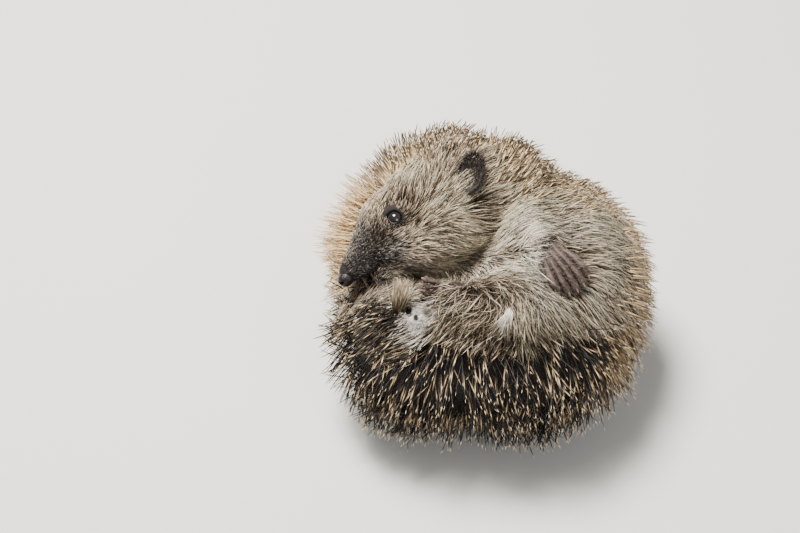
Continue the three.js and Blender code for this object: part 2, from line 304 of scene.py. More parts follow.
def ear_shape(P, at, up, out, h, w):
    side = np.cross(out, up)
    M = np.stack([up, side, out]).astype(f32)
    far = np.full(len(P), 50.0, f32)
    near = dist(P, at) < 18
    if near.any():
        Q = P[near]
        s = ell(Q, at, (h, w, 2.5), M)
        bowl = at + out * 2.3 + up * 0.5
        s = smax(s, -ell(Q, bowl, (h * 0.88, w * 0.86, 3.3), M), 0.5)
        s = smax(s, -ell(Q, at - out * 2.6, (h * 0.8, w * 0.8, 1.2), M), 0.8)
        far[near] = s
    return far


def lids(P, d, eye, out_dir, turn):
    """Adds the lids round an eyeball and opens the skin over it."""
    near = dist(P, eye) < 9
    if not near.any():
        return d
    Q = P[near]
    q = Q - np.asarray(eye, f32)
    o = unit(out_dir)
    a = unit(turn - o * (np.asarray(turn) @ o))
    b = np.cross(o, a)
    x, y, z = q @ a.astype(f32), q @ b.astype(f32), q @ o.astype(f32)
    r = dist(Q, eye)
    s = smin(d[near], np.maximum(r - 3.2, -z - 0.3), 1.0)
    gap = (np.sqrt((x / 2.6) ** 2 + (y / 2.46) ** 2) - 1) * 2.4
    s = smax(s, np.minimum(gap, 4) * -1 - 0 * z - np.where(z < 0, 50, 0), 0.35)
    s = smax(s, -(r - EYE_R - 0.06), 0.15)
    d = d.copy()
    d[near] = s
    return d


EYE_OUT_L = unit(LEFT * 1.0 + CROWN * 0.22 + FWD * 0.28)
EYE_OUT_R = unit(-LEFT * 1.0 + CROWN * 0.22 + FWD * 0.28)


def body(P):
    """Signed distance to the skin without its fine features."""
    s = smin(smin(head_shape(P), jaw_shape(P), 2), trunk_shape(P), 4)
    s = smin(s, thigh_shape(P), 5)
    s = smin(s, arm_shape(P), 4)
    s = smin(s, cone(P, (-2, 9, 43), (-13, 3, 42), 6, 4.4), 3)
    s = smin(s, tail_shape(P), 2)
    for n in FEET:
        s = smin(s, foot_shape(P, n, 60.0), 1.2)
    return s


def skin_shape(P):
    P = np.asarray(P, f32)
    f, d, l = in_head(P)
    s = body(P)
    al = np.abs(l)
    # brow and the hollow in front of the eye
    s = s - 0.5 * np.exp(-(((f - 26) / 6) ** 2) - ((d - 10.2) / 2.2) ** 2) * step(2, 7, al)
    s = s + 0.7 * np.exp(-(((f - 31.5) / 3) ** 2) - ((d - 5.0) / 2.5) ** 2) * step(3, 6, al)
    # mouth: the slit between the upper lip and the lower jaw
    slit = cone(P, hp(47, -2.2, 0), hp(34, -0.6, 7.5), 0.55, 0.4)
    slit = np.minimum(slit, cone(P, hp(47, -2.2, 0), hp(34, -0.6, -7.5), 0.55, 0.4))
    s = smax(s, -slit, 0.9)
    # ears
    s = smin(s, ear_shape(P, EAR_AT, EAR_UP, EAR_OUT, EAR_H, EAR_W), 1.2)
    s = smin(s, ear_shape(P, EAR2_AT, EAR2_UP, EAR2_OUT, EAR_H, EAR_W), 1.2)
    s = lids(P, s, EYE_L, EYE_OUT_L, FWD)
    s = lids(P, s, EYE_FAR, EYE_OUT_R, FWD)
    return s


def gradient(fn, P, e=0.15):
    """Value and unit gradient of fn at P, from four samples."""
    K = np.array([[1, -1, -1], [-1, -1, 1], [-1, 1, -1], [1, 1, 1]], f32)
    v = [fn(P + k * e) for k in K]
    g = sum(k * a[:, None] for k, a in zip(K, v))
    return (v[0] + v[1] + v[2] + v[3]) / 4, unit(g).astype(f32)


def seen(px, py, shape=body):
    """The point of the skin on a line of sight."""
    t = 60.0
    for _ in range(60):
        v = float(shape(sight(px, py, t)[None].astype(f32))[0])
        if v < 0.02:
            break
        t -= max(0.7 * v, 0.02)
    return sight(px, py, t)


# ------------------------------------------------------------------ coat masks
def spine_share(P):
    x, u, t = in_view(P)
    q = np.sqrt(((x - 3) / 41) ** 2 + ((u - 11) / 33) ** 2)
    return np.maximum(step(0.75, 1.15, q), 1 - step(-12, 6, t))


def far_side(P):
    x, u, t = in_view(P)
    return step(40, 56, 0.62 * u - 0.78 * x)


def brim(P):
    return 4 + 2.8 * step(18, 38, -P[:, 0])


def hood_share(P):
    f, d, l = in_head(P)
    a = step(-6, 7, d - (12 + 0.9 * np.maximum(f - 4, 0))) * (1 - step(8, 24, f))
    b = step(1, 9, -l) * step(2, 9, d) * (1 - step(14, 27, f))
    return np.maximum(a, b)


def head_share(P):
    return step(-4, 4, trunk_shape(P) - smin(head_shape(P), jaw_shape(P), 2))


def parting(P):
    return 0.35 + 0.65 * step(5, 16, dist(P, FAR_EAR))


def trunk_coat(P):
    f, d, l = in_head(P)
    hide = (
        (1 - step(3, 15, smin(head_shape(P), jaw_shape(P), 3)))
        * np.maximum(step(-9, 1, l), step(-2, 6, d) * step(-22, -12, l))
        * step(-12, 4, f)
    )
    c = 5.5 + (9.5 + brim(P) * far_side(P) - 5.5) * spine_share(P)
    return c * (0.12 + 0.88 * step(4, 24, dist(P, RUMP_BARE))) * parting(P) * (1 - 0.85 * hide)


def head_coat(P):
    f, d, l = in_head(P)
    c = 0.6 + 3.0 * (1 - step(14, 42, f))
    c = c + (8 + brim(P) * step(0, 12, -l) - c) * hood_share(P)
    c = c * parting(P)
    for e in (EYE_L, EYE_FAR):
        c = c * (0.12 + 0.88 * step(3.2, 7.5, dist(P, e)))
    return c


# ------------------------------------------------------------------ meshing
def spread(xs, ys, zs, fn, skip=4):
    """fn on every grid point, worked out in full only near its zero surface."""
    def thin(a):
        i = np.arange(0, len(a), skip)
        return i if i[-1] == len(a) - 1 else np.append(i, len(a) - 1)

    idx = [thin(a) for a in (xs, ys, zs)]
    G = np.stack(np.meshgrid(*[a[i] for a, i in zip((xs, ys, zs), idx)], indexing="ij"), -1)
    V = fn(G.reshape(-1, 3).astype(f32)).reshape(G.shape[:3])
    for ax, (a, i) in enumerate(zip((xs, ys, zs), idx)):
        j = np.clip(np.searchsorted(i, np.arange(len(a)), side="right") - 1, 0, len(i) - 2)
        w = ((a - a[i[j]]) / (a[i[j + 1]] - a[i[j]])).astype(f32)
        shape = [1, 1, 1]
        shape[ax] = -1
        w = w.reshape(shape)
        V = np.take(V, j, ax) * (1 - w) + np.take(V, j + 1, ax) * w
    gap = skip * max(np.diff(xs).max(), np.diff(ys).max(), np.diff(zs).max())
    near = np.argwhere(np.abs(V) < 0.75 * gap)
    for k in range(0, len(near), 150000):
        n = near[k : k + 150000]
        P = np.stack([xs[n[:, 0]], ys[n[:, 1]], zs[n[:, 2]]], 1)
        V[tuple(n.T)] = fn(P)
    return V


def surface(fn, xs, ys, zs, polish=3, limit=0.4):
    """Closed quad mesh of fn = 0 on a grid with uneven steps (surface nets)."""
    V = spread(xs, ys, zs, fn)
    inside = V < 0
    cells = (len(xs) - 1, len(ys) - 1, len(zs) - 1)
    total = cells[0] * cells[1] * cells[2]
    acc = np.zeros((total, 3))
    cnt = np.zeros(total)
    quads = []
    coords = (xs, ys, zs)
    for ax in range(3):
        o1, o2 = [(1, 2), (2, 0), (0, 1)][ax]
        lo = [slice(None)] * 3
        hi = [slice(None)] * 3
        lo[ax] = slice(0, -1)
        hi[ax] = slice(1, None)
        idx = np.argwhere(inside[tuple(lo)] != inside[tuple(hi)])
        nxt = idx.copy()
        nxt[:, ax] += 1
        a = V[tuple(idx.T)]
        b = V[tuple(nxt.T)]
        t = a / (a - b)
        P = np.stack([coords[k][idx[:, k]] for k in range(3)], 1)
        P[:, ax] += t * (coords[ax][nxt[:, ax]] - coords[ax][idx[:, ax]])
        corner = []
        for d1, d2 in ((-1, -1), (0, -1), (0, 0), (-1, 0)):
            c = idx.copy()
            c[:, o1] += d1
            c[:, o2] += d2
            flat = (c[:, 0] * cells[1] + c[:, 1]) * cells[2] + c[:, 2]
            corner.append(flat)
            for k in range(3):
                acc[:, k] += np.bincount(flat, P[:, k], total)
            cnt += np.bincount(flat, minlength=total)
        q = np.stack(corner, 1)
        flip = a > 0
        q[flip] = q[flip][:, ::-1]
        quads.append(q)
    quads = np.concatenate(quads)
    used = np.nonzero(cnt)[0]
    back = np.full(total, -1)
    back[used] = np.arange(len(used))
    verts = acc[used] / cnt[used, None]
    quads = back[quads]
    # each point moves on to the surface, then slides towards the middle of its neighbours
    ends = np.concatenate([quads, np.roll(quads, 1, 1)], 0)
    for k in range(polish):
        v, g = gradient(fn, verts.astype(f32))
        verts = verts - g * np.clip(v, -limit, limit)[:, None]
        if k < polish - 1:
            mean = np.zeros_like(verts)
            num = np.zeros(len(verts))
            for i in range(4):
                for j in (1, 3):
                    here, there = quads[:, i], quads[:, (i + j) % 4]
                    num += np.bincount(here, minlength=len(verts))
                    for c in range(3):
                        mean[:, c] += np.bincount(here, verts[there, c], len(verts))
            move = mean / num[:, None] - verts
            move -= g * np.einsum("ij,ij->i", move, g)[:, None]
            verts = verts + 0.5 * move
    return verts, largest_shell(quads, len(verts))


def largest_shell(quads, n):
    """The faces of the largest joined shell."""
    root = np.arange(n)
    while True:
        low = root[quads].min(1)
        new = root.copy()
        for i in range(4):
            np.minimum.at(new, quads[:, i], low)
        new = new[new]
        if (new == root).all():
            break
        root = new
    best = np.bincount(root[quads[:, 0]]).argmax()
    return quads[root[quads[:, 0]] == best]


def tidy(verts, quads):
    used = np.unique(quads)
    back = np.full(len(verts), -1)
    back[used] = np.arange(len(used))
    return verts[used], back[quads]


def spaced(lo, hi, coarse, *fine):
    """Grid lines from lo to hi, with closer ones in each (from, to, step) of fine."""
    out = [lo]
    while out[-1] < hi:
        s = coarse
        for a, b, d in fine:
            if a <= out[-1] < b:
                s = d
        out.append(out[-1] + s)
    return np.array(out, f32)


def new_mesh(name, verts, faces_list, smooth=True):
    """faces_list holds index arrays, one per polygon size."""
    me = bpy.data.meshes.new(name)
    me.vertices.add(len(verts))
    me.vertices.foreach_set("co", world(verts).astype(f32).ravel())
    loops = np.concatenate([f.ravel() for f in faces_list]).astype(np.int32)
    sizes = np.concatenate([np.full(len(f), f.shape[1]) for f in faces_list])
    starts = np.concatenate([[0], np.cumsum(sizes)[:-1]]).astype(np.int32)
    me.loops.add(len(loops))
    me.loops.foreach_set("vertex_index", loops)
    me.polygons.add(len(sizes))
    me.polygons.foreach_set("loop_start", starts)
    me.polygons.foreach_set("use_smooth", np.full(len(sizes), smooth))
    me.update(calc_edges=True)
    ob = bpy.data.objects.new(name, me)
    bpy.context.scene.collection.objects.link(ob)
    return ob, loops


def add_colour(ob, name, rgb):
    at = ob.data.attributes.new(name, "FLOAT_COLOR", "POINT")
    c = np.ones((len(rgb), 4), f32)
    c[:, :3] = rgb
    at.data.foreach_set("color", c.ravel())


def add_uv(ob, uv_loops, name="OFBake"):
    uv = ob.data.uv_layers.new(name=name)
    uv.data.foreach_set("uv", uv_loops.astype(f32).ravel())


def srgb(r, g, b):
    c = np.array([r, g, b], float) / 255
    return np.where(c < 0.04045, c / 12.92, ((c + 0.055) / 1.055) ** 2.4)


# ------------------------------------------------------------------ skin colours
# Painted shade: near-black skin under the spines, standing in for the shade in the gaps between them.
SPINE_GAP_SHADE = srgb(15, 12, 11)
UNDER = srgb(44, 37, 33)
SNOUT = srgb(46, 42, 43)
CHEEK = srgb(112, 94, 84)
PINK = srgb(146, 116, 112)
FOOT = srgb(97, 83, 78)
# Painted shade: a darker brown laid half over the hind sole for the shadow of the crease under the chin.
HIND_SOLE_SHADE = srgb(76, 59, 54)
EAR = srgb(50, 45, 44)
EAR_IN = srgb(20, 17, 17)
CRUST = srgb(206, 201, 194)
# Painted shade: near-black spots for small pits in the crust; the mesh has no dents there.
PITS = [(seen(409, 312), 1.15), (seen(416, 318), 0.85)]
# Bare or white patches: where, and how wide in mm.
WHITE = [
    (seen(421, 318), 7.0), (seen(410, 308), 4.8), (seen(367, 277, trunk_shape), 4.0), (seen(432, 336), 3.0),
    (seen(446, 303), 2.6),
]


def white_share(P, first=0, last=None):
    w = np.zeros(len(P), f32)
    for c, r in WHITE[first:last]:
        w = np.maximum(w, 1 - step(0.6 * r, 1.2 * r, dist(P, c) + 0.25 * r * noise(P, 0.5 * r + 0.8, 6)))
    return w


def mix(a, b, w):
    return a + (b - a) * np.asarray(w)[:, None]


def toe_crease_shade(P):
    """1 in the creases between the toes, where the skin gets painted shade."""
    w = np.zeros(len(P), f32)
    for name in FEET:
        ahead = foot_frame(name)[4]
        first = np.full(len(P), 40.0, f32)
        second = first.copy()
        for root, knuckle, joint, tip in _TOES[name]:
            e = cone(P, root - ahead * 3.5, tip, 0, 0)
            first, second = np.minimum(first, e), np.minimum(second, np.maximum(first, e))
        w = np.maximum(w, (1 - step(0.1, 1.1, second - first)) * (first < 4))
    return w


def feet_share(P):
    s = np.full(len(P), 60.0, f32)
    for n in FEET:
        s = np.minimum(s, foot_shape(P, n, 60.0))
    return 1 - step(0.2, 1.6, s)


def ears_share(P):
    a = np.minimum(
        ear_shape(P, EAR_AT, EAR_UP, EAR_OUT, EAR_H, EAR_W),
        ear_shape(P, EAR2_AT, EAR2_UP, EAR2_OUT, EAR_H, EAR_W),
    )
    return 1 - step(0.1, 1.0, a)


def ear_bowl(P):
    w = np.zeros(len(P), f32)
    for at, up, out in ((EAR_AT, EAR_UP, EAR_OUT), (EAR2_AT, EAR2_UP, EAR2_OUT)):
        q = P - at.astype(f32)
        side = np.cross(out, up)
        r = np.sqrt((q @ up / (0.87 * EAR_H)) ** 2 + (q @ side / (0.87 * EAR_W)) ** 2)
        w = np.maximum(w, (1 - step(0.75, 1.1, r)) * step(-1.5, 0.2, q @ out) * (dist(P, at) < 12))
    return w


def muzzle(f, d):
    """1 on the short-haired muzzle, 0 on cheeks and forehead."""
    return step(25, 36, f - 0.75 * np.maximum(d - 6, 0))


def ridge_share(f, d):
    """1 along the top of the muzzle."""
    return step(0.15, 0.75, (d - (7.4 - 0.23 * (f - 29))) / np.maximum(8.3 - 0.26 * (f - 29), 2))


def skin_tone(P):
    f, d, l = in_head(P)
    wh = head_share(P)
    sp = np.maximum(spine_share(P) * (1 - wh), hood_share(P) * wh)
    # In the spine zones the skin is darkened with painted shade for the gaps between spines.
    c = mix(np.tile(UNDER, (len(P), 1)), SPINE_GAP_SHADE, sp * 0.9)
    c = mix(c, CHEEK, wh * (1 - step(20, 34, f)) * step(8, 16, f) * (1 - hood_share(P)) * 0.7)
    c = mix(c, PINK, 0.25 * wh * (1 - step(2.5, 7, dist(P, EYE_L - FWD * 4.5 + CROWN * 3.6))))
    snout = wh * muzzle(f, d)
    c = mix(c, SNOUT, snout)
    c = mix(c, srgb(104, 95, 91), ridge_share(f, d) * snout * 0.7)
    c = mix(c, srgb(28, 24, 24), wh * step(43, 47.5, f))
    for e in (EYE_L, EYE_FAR):
        r = dist(P, e)
        c = mix(c, srgb(22, 18, 18), 0.95 * (1 - step(4.8, 7.0, r)) * wh)
        c = mix(c, srgb(6, 5, 5), 1 - step(3.6, 4.6, r))
    white = white_share(P) * (1 - wh)
    c = mix(c, CRUST, white * np.clip(0.62 + 0.5 * noise(P, 0.9, 9) + 0.3 * noise(P, 2.6, 10), 0, 1))
    # Near-black painted shade in the pits of the crust.
    for p, r in PITS:
        q = P - p.astype(f32)
        q = np.sqrt((q @ VR) ** 2 + ((q @ VU) * 0.7) ** 2)
        c = mix(c, srgb(8, 7, 7), (1 - step(0.8 * r, 1.25 * r, q)) * (dist(P, p) < 4))
    ft = feet_share(P)
    c = mix(c, FOOT, ft)
    c = mix(c, srgb(56, 44, 41), ft * step(6, 12, dist(P, np.array(FEET["fore_left"][1]))) * 0.85)
    # The hind sole is darkened with painted shade of the crease under the chin, over its own colour.
    c = mix(c, HIND_SOLE_SHADE, 0.5 * ft * (1 - step(8, 12, dist(P, np.array(FEET["hind_left"][1]) + np.array([-3.0, 0, 0])))))
    for name in FEET:
        for root, knuckle, joint, tip in _TOES[name]:
            c = mix(c, srgb(112, 84, 76), 0.3 * (1 - step(0.8, 2.2, dist(P, tip))) * ft)
    # Painted shade: near-black in the creases between the toes.
    c = mix(c, srgb(20, 15, 14), 0.85 * toe_crease_shade(P) * ft)
    c = mix(c, EAR, ears_share(P))
    c = mix(c, EAR_IN, ears_share(P) * ear_bowl(P))
    return c * (1 + 0.16 * noise(P, 1.3, 1)[:, None] + 0.12 * noise(P, 5, 2)[:, None])


# ------------------------------------------------------------------ coat depth and lie
def owners(P):
    """How much each part of the body owns a point of the skin."""
    feet = np.full(len(P), 60.0, f32)
    for n in FEET:
        feet = np.minimum(feet, foot_shape(P, n, 60.0))
    ears = np.minimum(
        ear_shape(P, EAR_AT, EAR_UP, EAR_OUT, EAR_H, EAR_W),
        ear_shape(P, EAR2_AT, EAR2_UP, EAR2_OUT, EAR_H, EAR_W),
    )
    s = {
        "trunk": trunk_shape(P),
        "head": head_shape(P),
        "jaw": jaw_shape(P),
        "thigh": thigh_shape(P),
        "arm": arm_shape(P),
        "arm_right": cone(P, (-2, 9, 43), (-13, 3, 42), 6, 4.4),
        "tail": tail_shape(P),
        "feet": feet,
        "ears": ears,
    }
    w = {k: np.exp(-np.clip(v, -2, 12) / 0.9) for k, v in s.items()}
    tot = sum(w.values()) + 1e-9
    return {k: v / tot for k, v in w.items()}


DEPTH = {"jaw": 1.0, "thigh": 4.0, "arm": 4.0, "arm_right": 1.0, "tail": 1.0, "feet": 0.4, "ears": 0.5}


def coat(P, own):
    c = own["trunk"] * trunk_coat(P) + own["head"] * head_coat(P)
    for k, v in DEPTH.items():
        c = c + own[k] * v
    return c


# Lie of the fur: place in the view (mm right and up of the middle) and the way it points.
LIE = [
    (-12, 38, 0.6, 0.8), (4, 34, 0.82, 0.62), (20, 26, 0.87, 0.5), (38, 10, 1.0, 0.12), (-4, 24, 0.62, 0.75),
    (40, -8, 1.0, -0.5), (24, -18, 0.8, -0.9), (10, -10, 0.2, -1.0), (-4, -14, -0.8, -0.7),
    (-18, -8, -0.8, -0.5), (10, 13, 1.0, 0.22), (0, 2, 0.7, -0.6), (26, 4, 0.9, 0.2),
    (30, -8, 0.6, -0.8), (-30, -22, -0.9, -0.4), (-12, 22, 0.9, 0.5), (-2, -26, -0.6, -0.8),
]
RING = (3.0, 4.0)


def lie(P, n, own):
    """Unit direction along the skin in which the coat lies."""
    x, u, t = in_view(P)
    a = np.zeros(len(P))
    b = np.zeros(len(P))
    tot = np.zeros(len(P))
    for cx, cu, dx, du in LIE:
        w = 1 / (12 + (x - cx) ** 2 + (u - cu) ** 2) ** 1.5
        k = math.hypot(dx, du)
        a += w * dx / k
        b += w * du / k
        tot += w
    body_dir = (a / tot)[:, None] * VR + (b / tot)[:, None] * VU
    f, d, l = in_head(P)
    fore = 1 - step(30, 42, f)
    back = -FWD[None] + CROWN[None] * (0.9 * step(1, 12, d) * fore)[:, None]
    back = back - CROWN[None] * (1.15 * step(-1, 12, -d) * fore)[:, None]
    back = back - LEFT[None] * (0.5 * step(0, 8, -l) * fore)[:, None]
    wh = (own["head"] + own["jaw"])[:, None]
    v = unit(body_dir) * (1 - wh) + unit(back) * wh
    v = v - n * np.einsum("ij,ij->i", v, n)[:, None]
    return unit(v)


def caudal(P, n):
    x, u, t = in_view(P)
    rx, ru = x - RING[0], u - RING[1]
    v = ru[:, None] * VR - rx[:, None] * VU
    v = v - n * np.einsum("ij,ij->i", v, n)[:, None]
    return unit(v)


def jitter(P, size, seed):
    return np.stack([noise(P, size, seed + 0.31 * k) for k in range(3)], 1)


# ------------------------------------------------------------------ strands
def tubes(path, radius, flat, n0, sides):
    """Closed tapered tubes. path is (N,K,3), radius (N,K), and the last point is the tip.
    Returns the points (N,M,3), the template faces, and where each point is along and round."""
    N, K, _ = path.shape
    tan = np.empty_like(path)
    tan[:, 0] = path[:, 1] - path[:, 0]
    tan[:, -1] = path[:, -1] - path[:, -2]
    tan[:, 1:-1] = path[:, 2:] - path[:, :-2]
    tan = unit(tan)
    ref = n0[:, None, :] - tan * np.einsum("nkj,nj->nk", tan, n0)[..., None]
    ref = unit(ref)
    bi = np.cross(tan, ref)
    th = np.arange(sides) * 2 * math.pi / sides
    c = np.cos(th)[None, None, :, None] * flat
    s = np.sin(th)[None, None, :, None]
    ring = path[:, :-1, None] + radius[:, :-1, None, None] * (
        ref[:, :-1, None] * c + bi[:, :-1, None] * s
    )
    M = (K - 1) * sides + 1
    verts = np.concatenate([ring.reshape(N, (K - 1) * sides, 3), path[:, -1:]], 1)
    quads, quv, tris, tuv = [], [], [], []
    for i in range(K - 2):
        for j in range(sides):
            j2 = (j + 1) % sides
            quads.append((i * sides + j, i * sides + j2, (i + 1) * sides + j2, (i + 1) * sides + j))
            quv.append(((j, i), (j + 1, i), (j + 1, i + 1), (j, i + 1)))
    for j in range(sides):
        j2 = (j + 1) % sides
        tris.append(((K - 2) * sides + j, (K - 2) * sides + j2, M - 1))
        tuv.append(((j, K - 2), (j + 1, K - 2), (j + 0.5, K - 1)))
    cap = [list(range(sides))[::-1]]
    cuv = [[(j, 0) for j in range(sides)][::-1]]
    return verts, (np.array(quads), np.array(tris), np.array(cap)), (
        np.array(quv, float), np.array(tuv, float), np.array(cuv, float))


def unwrap(P):
    """Place of each root on an unwrap of the skin round the middle of the body, 0 to 1."""
    q = P - np.array([1.0, 1.0, 30.0])
    lon = np.arctan2(q[:, 1], q[:, 0]) / (2 * math.pi) + 0.5
    lat = np.arcsin(np.clip(q[:, 2] / (np.linalg.norm(q, axis=1) + 1e-9), -1, 1)) / math.pi + 0.5
    return np.stack([lon, lat], 1)


def build_strands(name, path, radius, flat, n0, sides, ring_colours, roots):
    """One mesh piece of strands with colours along them and a patch of OFBake for each."""
    N, K, _ = path.shape
    verts, faces, fuvs = tubes(path, radius, flat, n0, sides)
    M = verts.shape[1]
    offs = (np.arange(N) * M)[:, None, None]
    polys = [(f[None] + offs).reshape(-1, f.shape[1]) for f in faces]
    ob, _ = new_mesh(name, verts.reshape(-1, 3), polys)
    col = np.concatenate([np.repeat(ring_colours[:, :-1], sides, 1), ring_colours[:, -1:]], 1)
    add_colour(ob, "tone", np.clip(col.reshape(-1, 3), 0.001, 1))
    place = unwrap(roots)
    lo, hi = place.min(0), place.max(0)
    place = 0.01 + (place - lo) / np.maximum(hi - lo, 1e-6) * 0.97
    size = 0.003
    out = []
    for fu in fuvs:
        cell = fu / np.array([sides, K - 1]) * size
        out.append((place[:, None, None] + cell[None]).reshape(-1, 2))
    add_uv(ob, np.concatenate(out))
    return ob


def scatter(verts, tris, density, count, rng):
    """Points on the skin, thick where density is high."""
    a, b, c = (verts[tris[:, k]] for k in range(3))
    cr = np.cross(b - a, c - a)
    area = 0.5 * np.linalg.norm(cr, axis=1)
    w = area * np.maximum(density[tris].mean(1), 0)
    cum = np.cumsum(w)
    pick = np.searchsorted(cum, rng.random(count) * cum[-1])
    pick = np.clip(pick, 0, len(tris) - 1)
    r1 = np.sqrt(rng.random(count))
    r2 = rng.random(count)
    u, v, w2 = 1 - r1, r1 * (1 - r2), r1 * r2
    return a[pick] * u[:, None] + b[pick] * v[:, None] + c[pick] * w2[:, None]


def apart(P, gap):
    """Keeps points at least gap from each other."""
    cell = {}
    keep = []
    key = np.floor(P / gap).astype(int)
    g2 = gap * gap
    for i in range(len(P)):
        kx, ky, kz = key[i]
        ok = True
        for dx in (-1, 0, 1):
            for dy in (-1, 0, 1):
                for dz in (-1, 0, 1):
                    for j in cell.get((kx + dx, ky + dy, kz + dz), ()):
                        q = P[i] - P[j]
                        if q @ q < g2:
                            ok = False
                            break
                    if not ok:
                        break
                if not ok:
                    break
            if not ok:
                break
        if ok:
            cell.setdefault((kx, ky, kz), []).append(i)
            keep.append(i)
    return P[np.array(keep)]


# ------------------------------------------------------------------ materials
def material(name, rough, **sockets):
    m = bpy.data.materials.new(name)
    m.use_nodes = True
    nt = m.node_tree
    b = nt.nodes["Principled BSDF"]
    b.inputs["Roughness"].default_value = rough
    for k, v in sockets.items():
        b.inputs[k.replace("_", " ")].default_value = v
    return m, nt, b


def node(nt, kind, **sets):
    n = nt.nodes.new(kind)
    for k, v in sets.items():
        if k in n.inputs:
            n.inputs[k].default_value = v
        else:
            setattr(n, k, v)
    return n


def tone_material(name, rough, grain, amount, bump_scale, bump, dist_m, **sockets):
    """Colour from the mesh's own tone, broken up by noise, with a fine bump."""
    m, nt, b = material(name, rough, **sockets)
    L = nt.links.new
    co = node(nt, "ShaderNodeTexCoord")
    at = node(nt, "ShaderNodeAttribute", attribute_name="tone")
    nz = node(nt, "ShaderNodeTexNoise", Scale=grain, Detail=4.0)
    L(co.outputs["Object"], nz.inputs["Vector"])
    rng = node(nt, "ShaderNodeMapRange")
    rng.inputs["From Min"].default_value = 0.3
    rng.inputs["From Max"].default_value = 0.7
    rng.inputs["To Min"].default_value = 1 - amount
    rng.inputs["To Max"].default_value = 1 + amount
    L(nz.outputs["Fac"], rng.inputs["Value"])
    mul = node(nt, "ShaderNodeVectorMath", operation="SCALE")
    L(at.outputs["Color"], mul.inputs[0])
    L(rng.outputs["Result"], mul.inputs["Scale"])
    L(mul.outputs["Vector"], b.inputs["Base Color"])
    n2 = node(nt, "ShaderNodeTexNoise", Scale=bump_scale, Detail=5.0)
    L(co.outputs["Object"], n2.inputs["Vector"])
    bp = node(nt, "ShaderNodeBump", Strength=bump, Distance=dist_m)
    L(n2.outputs["Fac"], bp.inputs["Height"])
    L(bp.outputs["Normal"], b.inputs["Normal"])
    return m


SKIN_MAT = tone_material("hedgehog_skin", 0.62, 900, 0.28, 2600, 0.7, 0.0004, Specular_IOR_Level=0.2)
FUR_MAT = tone_material("hedgehog_fur", 0.6, 1500, 0.10, 4000, 0.1, 0.0001, Specular_IOR_Level=0.22)
SPINE_MAT = tone_material("hedgehog_spine", 0.42, 1200, 0.12, 3000, 0.15, 0.0001, Specular_IOR_Level=0.26)
CLAW_MAT = tone_material("hedgehog_claw", 0.34, 1500, 0.18, 2500, 0.25, 0.0001, Specular_IOR_Level=0.5)


def put(ob, mat, slot, *nodes):
    ob.data.materials.append(mat)
    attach(ob, "root")
    if nodes:
        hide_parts(*nodes)
    return ob


# ------------------------------------------------------------------ the skin
face_x, leg_x = (-50, -17), (18, 34)
xs = spaced(-52, 50, 1.0, (*face_x, 0.5), (*leg_x, 0.6))
ys = spaced(-50, 50, 1.0, (-25, 18, 0.55))
zs = spaced(-2, 74, 1.0, (35, 66, 0.55))
verts, quads = tidy(*surface(skin_shape, xs, ys, zs))
tone = skin_tone(verts.astype(f32))
skin, loops = new_mesh("skin", verts, [quads])
add_colour(skin, "tone", np.clip(tone, 0.001, 1))
add_uv(skin, unwrap(verts)[loops])
put(
    skin, SKIN_MAT, "skin",
    "shoulders", "back", "rump", "neck", "head", "lower_jaw", "ear_left", "ear_right",
    "foreleg_left", "forefoot_left", "foreleg_right", "forefoot_right",
    "hindleg_left", "hindfoot_left", "hindfoot_right", "tail",
)
print("skin", len(verts), "points,", 2 * len(quads), "triangles")
tris = np.concatenate([quads[:, :3], quads[:, [0, 2, 3]]])

# ------------------------------------------------------------------ eyes
def ball(name, centre, r, out, mat, slot, node_name):
    """Eyeball with a slightly raised cornea."""
    rings, around = 40, 56
    o = unit(out)
    a = unit(np.cross(o, [0.3, 0.2, 0.9]))
    b = np.cross(o, a)
    th = np.linspace(0, math.pi, rings)
    rr = r * (1 + 0.035 * np.exp(-((th / 0.75) ** 4)))
    ph = np.arange(around) * 2 * math.pi / around
    P = (
        centre
        + (rr * np.cos(th))[:, None, None] * o
        + (rr * np.sin(th))[:, None, None] * (np.cos(ph)[None, :, None] * a + np.sin(ph)[None, :, None] * b)
    )
    top = centre + o * rr[0]
    bot = centre - o * rr[-1]
    V = np.concatenate([P[1:-1].reshape(-1, 3), [top, bot]])
    n = rings - 2
    i, j = np.meshgrid(np.arange(n - 1), np.arange(around), indexing="ij")
    j2 = (j + 1) % around
    q = np.stack([i * around + j, (i + 1) * around + j, (i + 1) * around + j2, i * around + j2], -1).reshape(-1, 4)
    k = np.arange(around)
    k2 = (k + 1) % around
    t1 = np.stack([np.full(around, n * around), k, k2], 1)
    t2 = np.stack([np.full(around, n * around + 1), (n - 1) * around + k2, (n - 1) * around + k], 1)
    ob, _ = new_mesh(name, V, [q, np.concatenate([t1, t2])])
    return put(ob, mat, slot, node_name)


EYE_MAT, nt, b = material("hedgehog_eye", 0.04, Specular_IOR_Level=0.6, IOR=1.45)
b.inputs["Coat Weight"].default_value = 1.0
b.inputs["Coat Roughness"].default_value = 0.015
co = node(nt, "ShaderNodeTexCoord")
nz = node(nt, "ShaderNodeTexNoise", Scale=500.0, Detail=3.0)
nt.links.new(co.outputs["Object"], nz.inputs["Vector"])
ramp = node(nt, "ShaderNodeValToRGB")
ramp.color_ramp.elements[0].color = (0.0035, 0.003, 0.004, 1)
ramp.color_ramp.elements[1].color = (0.012, 0.009, 0.009, 1)
nt.links.new(nz.outputs["Fac"], ramp.inputs["Fac"])
nt.links.new(ramp.outputs["Color"], b.inputs["Base Color"])
ball("eyeball_left", EYE_L, EYE_R, EYE_OUT_L, EYE_MAT, "eye", "eye_left")
ball("eyeball_right", EYE_FAR, EYE_R, EYE_OUT_R, EYE_MAT, "eye", "eye_right")


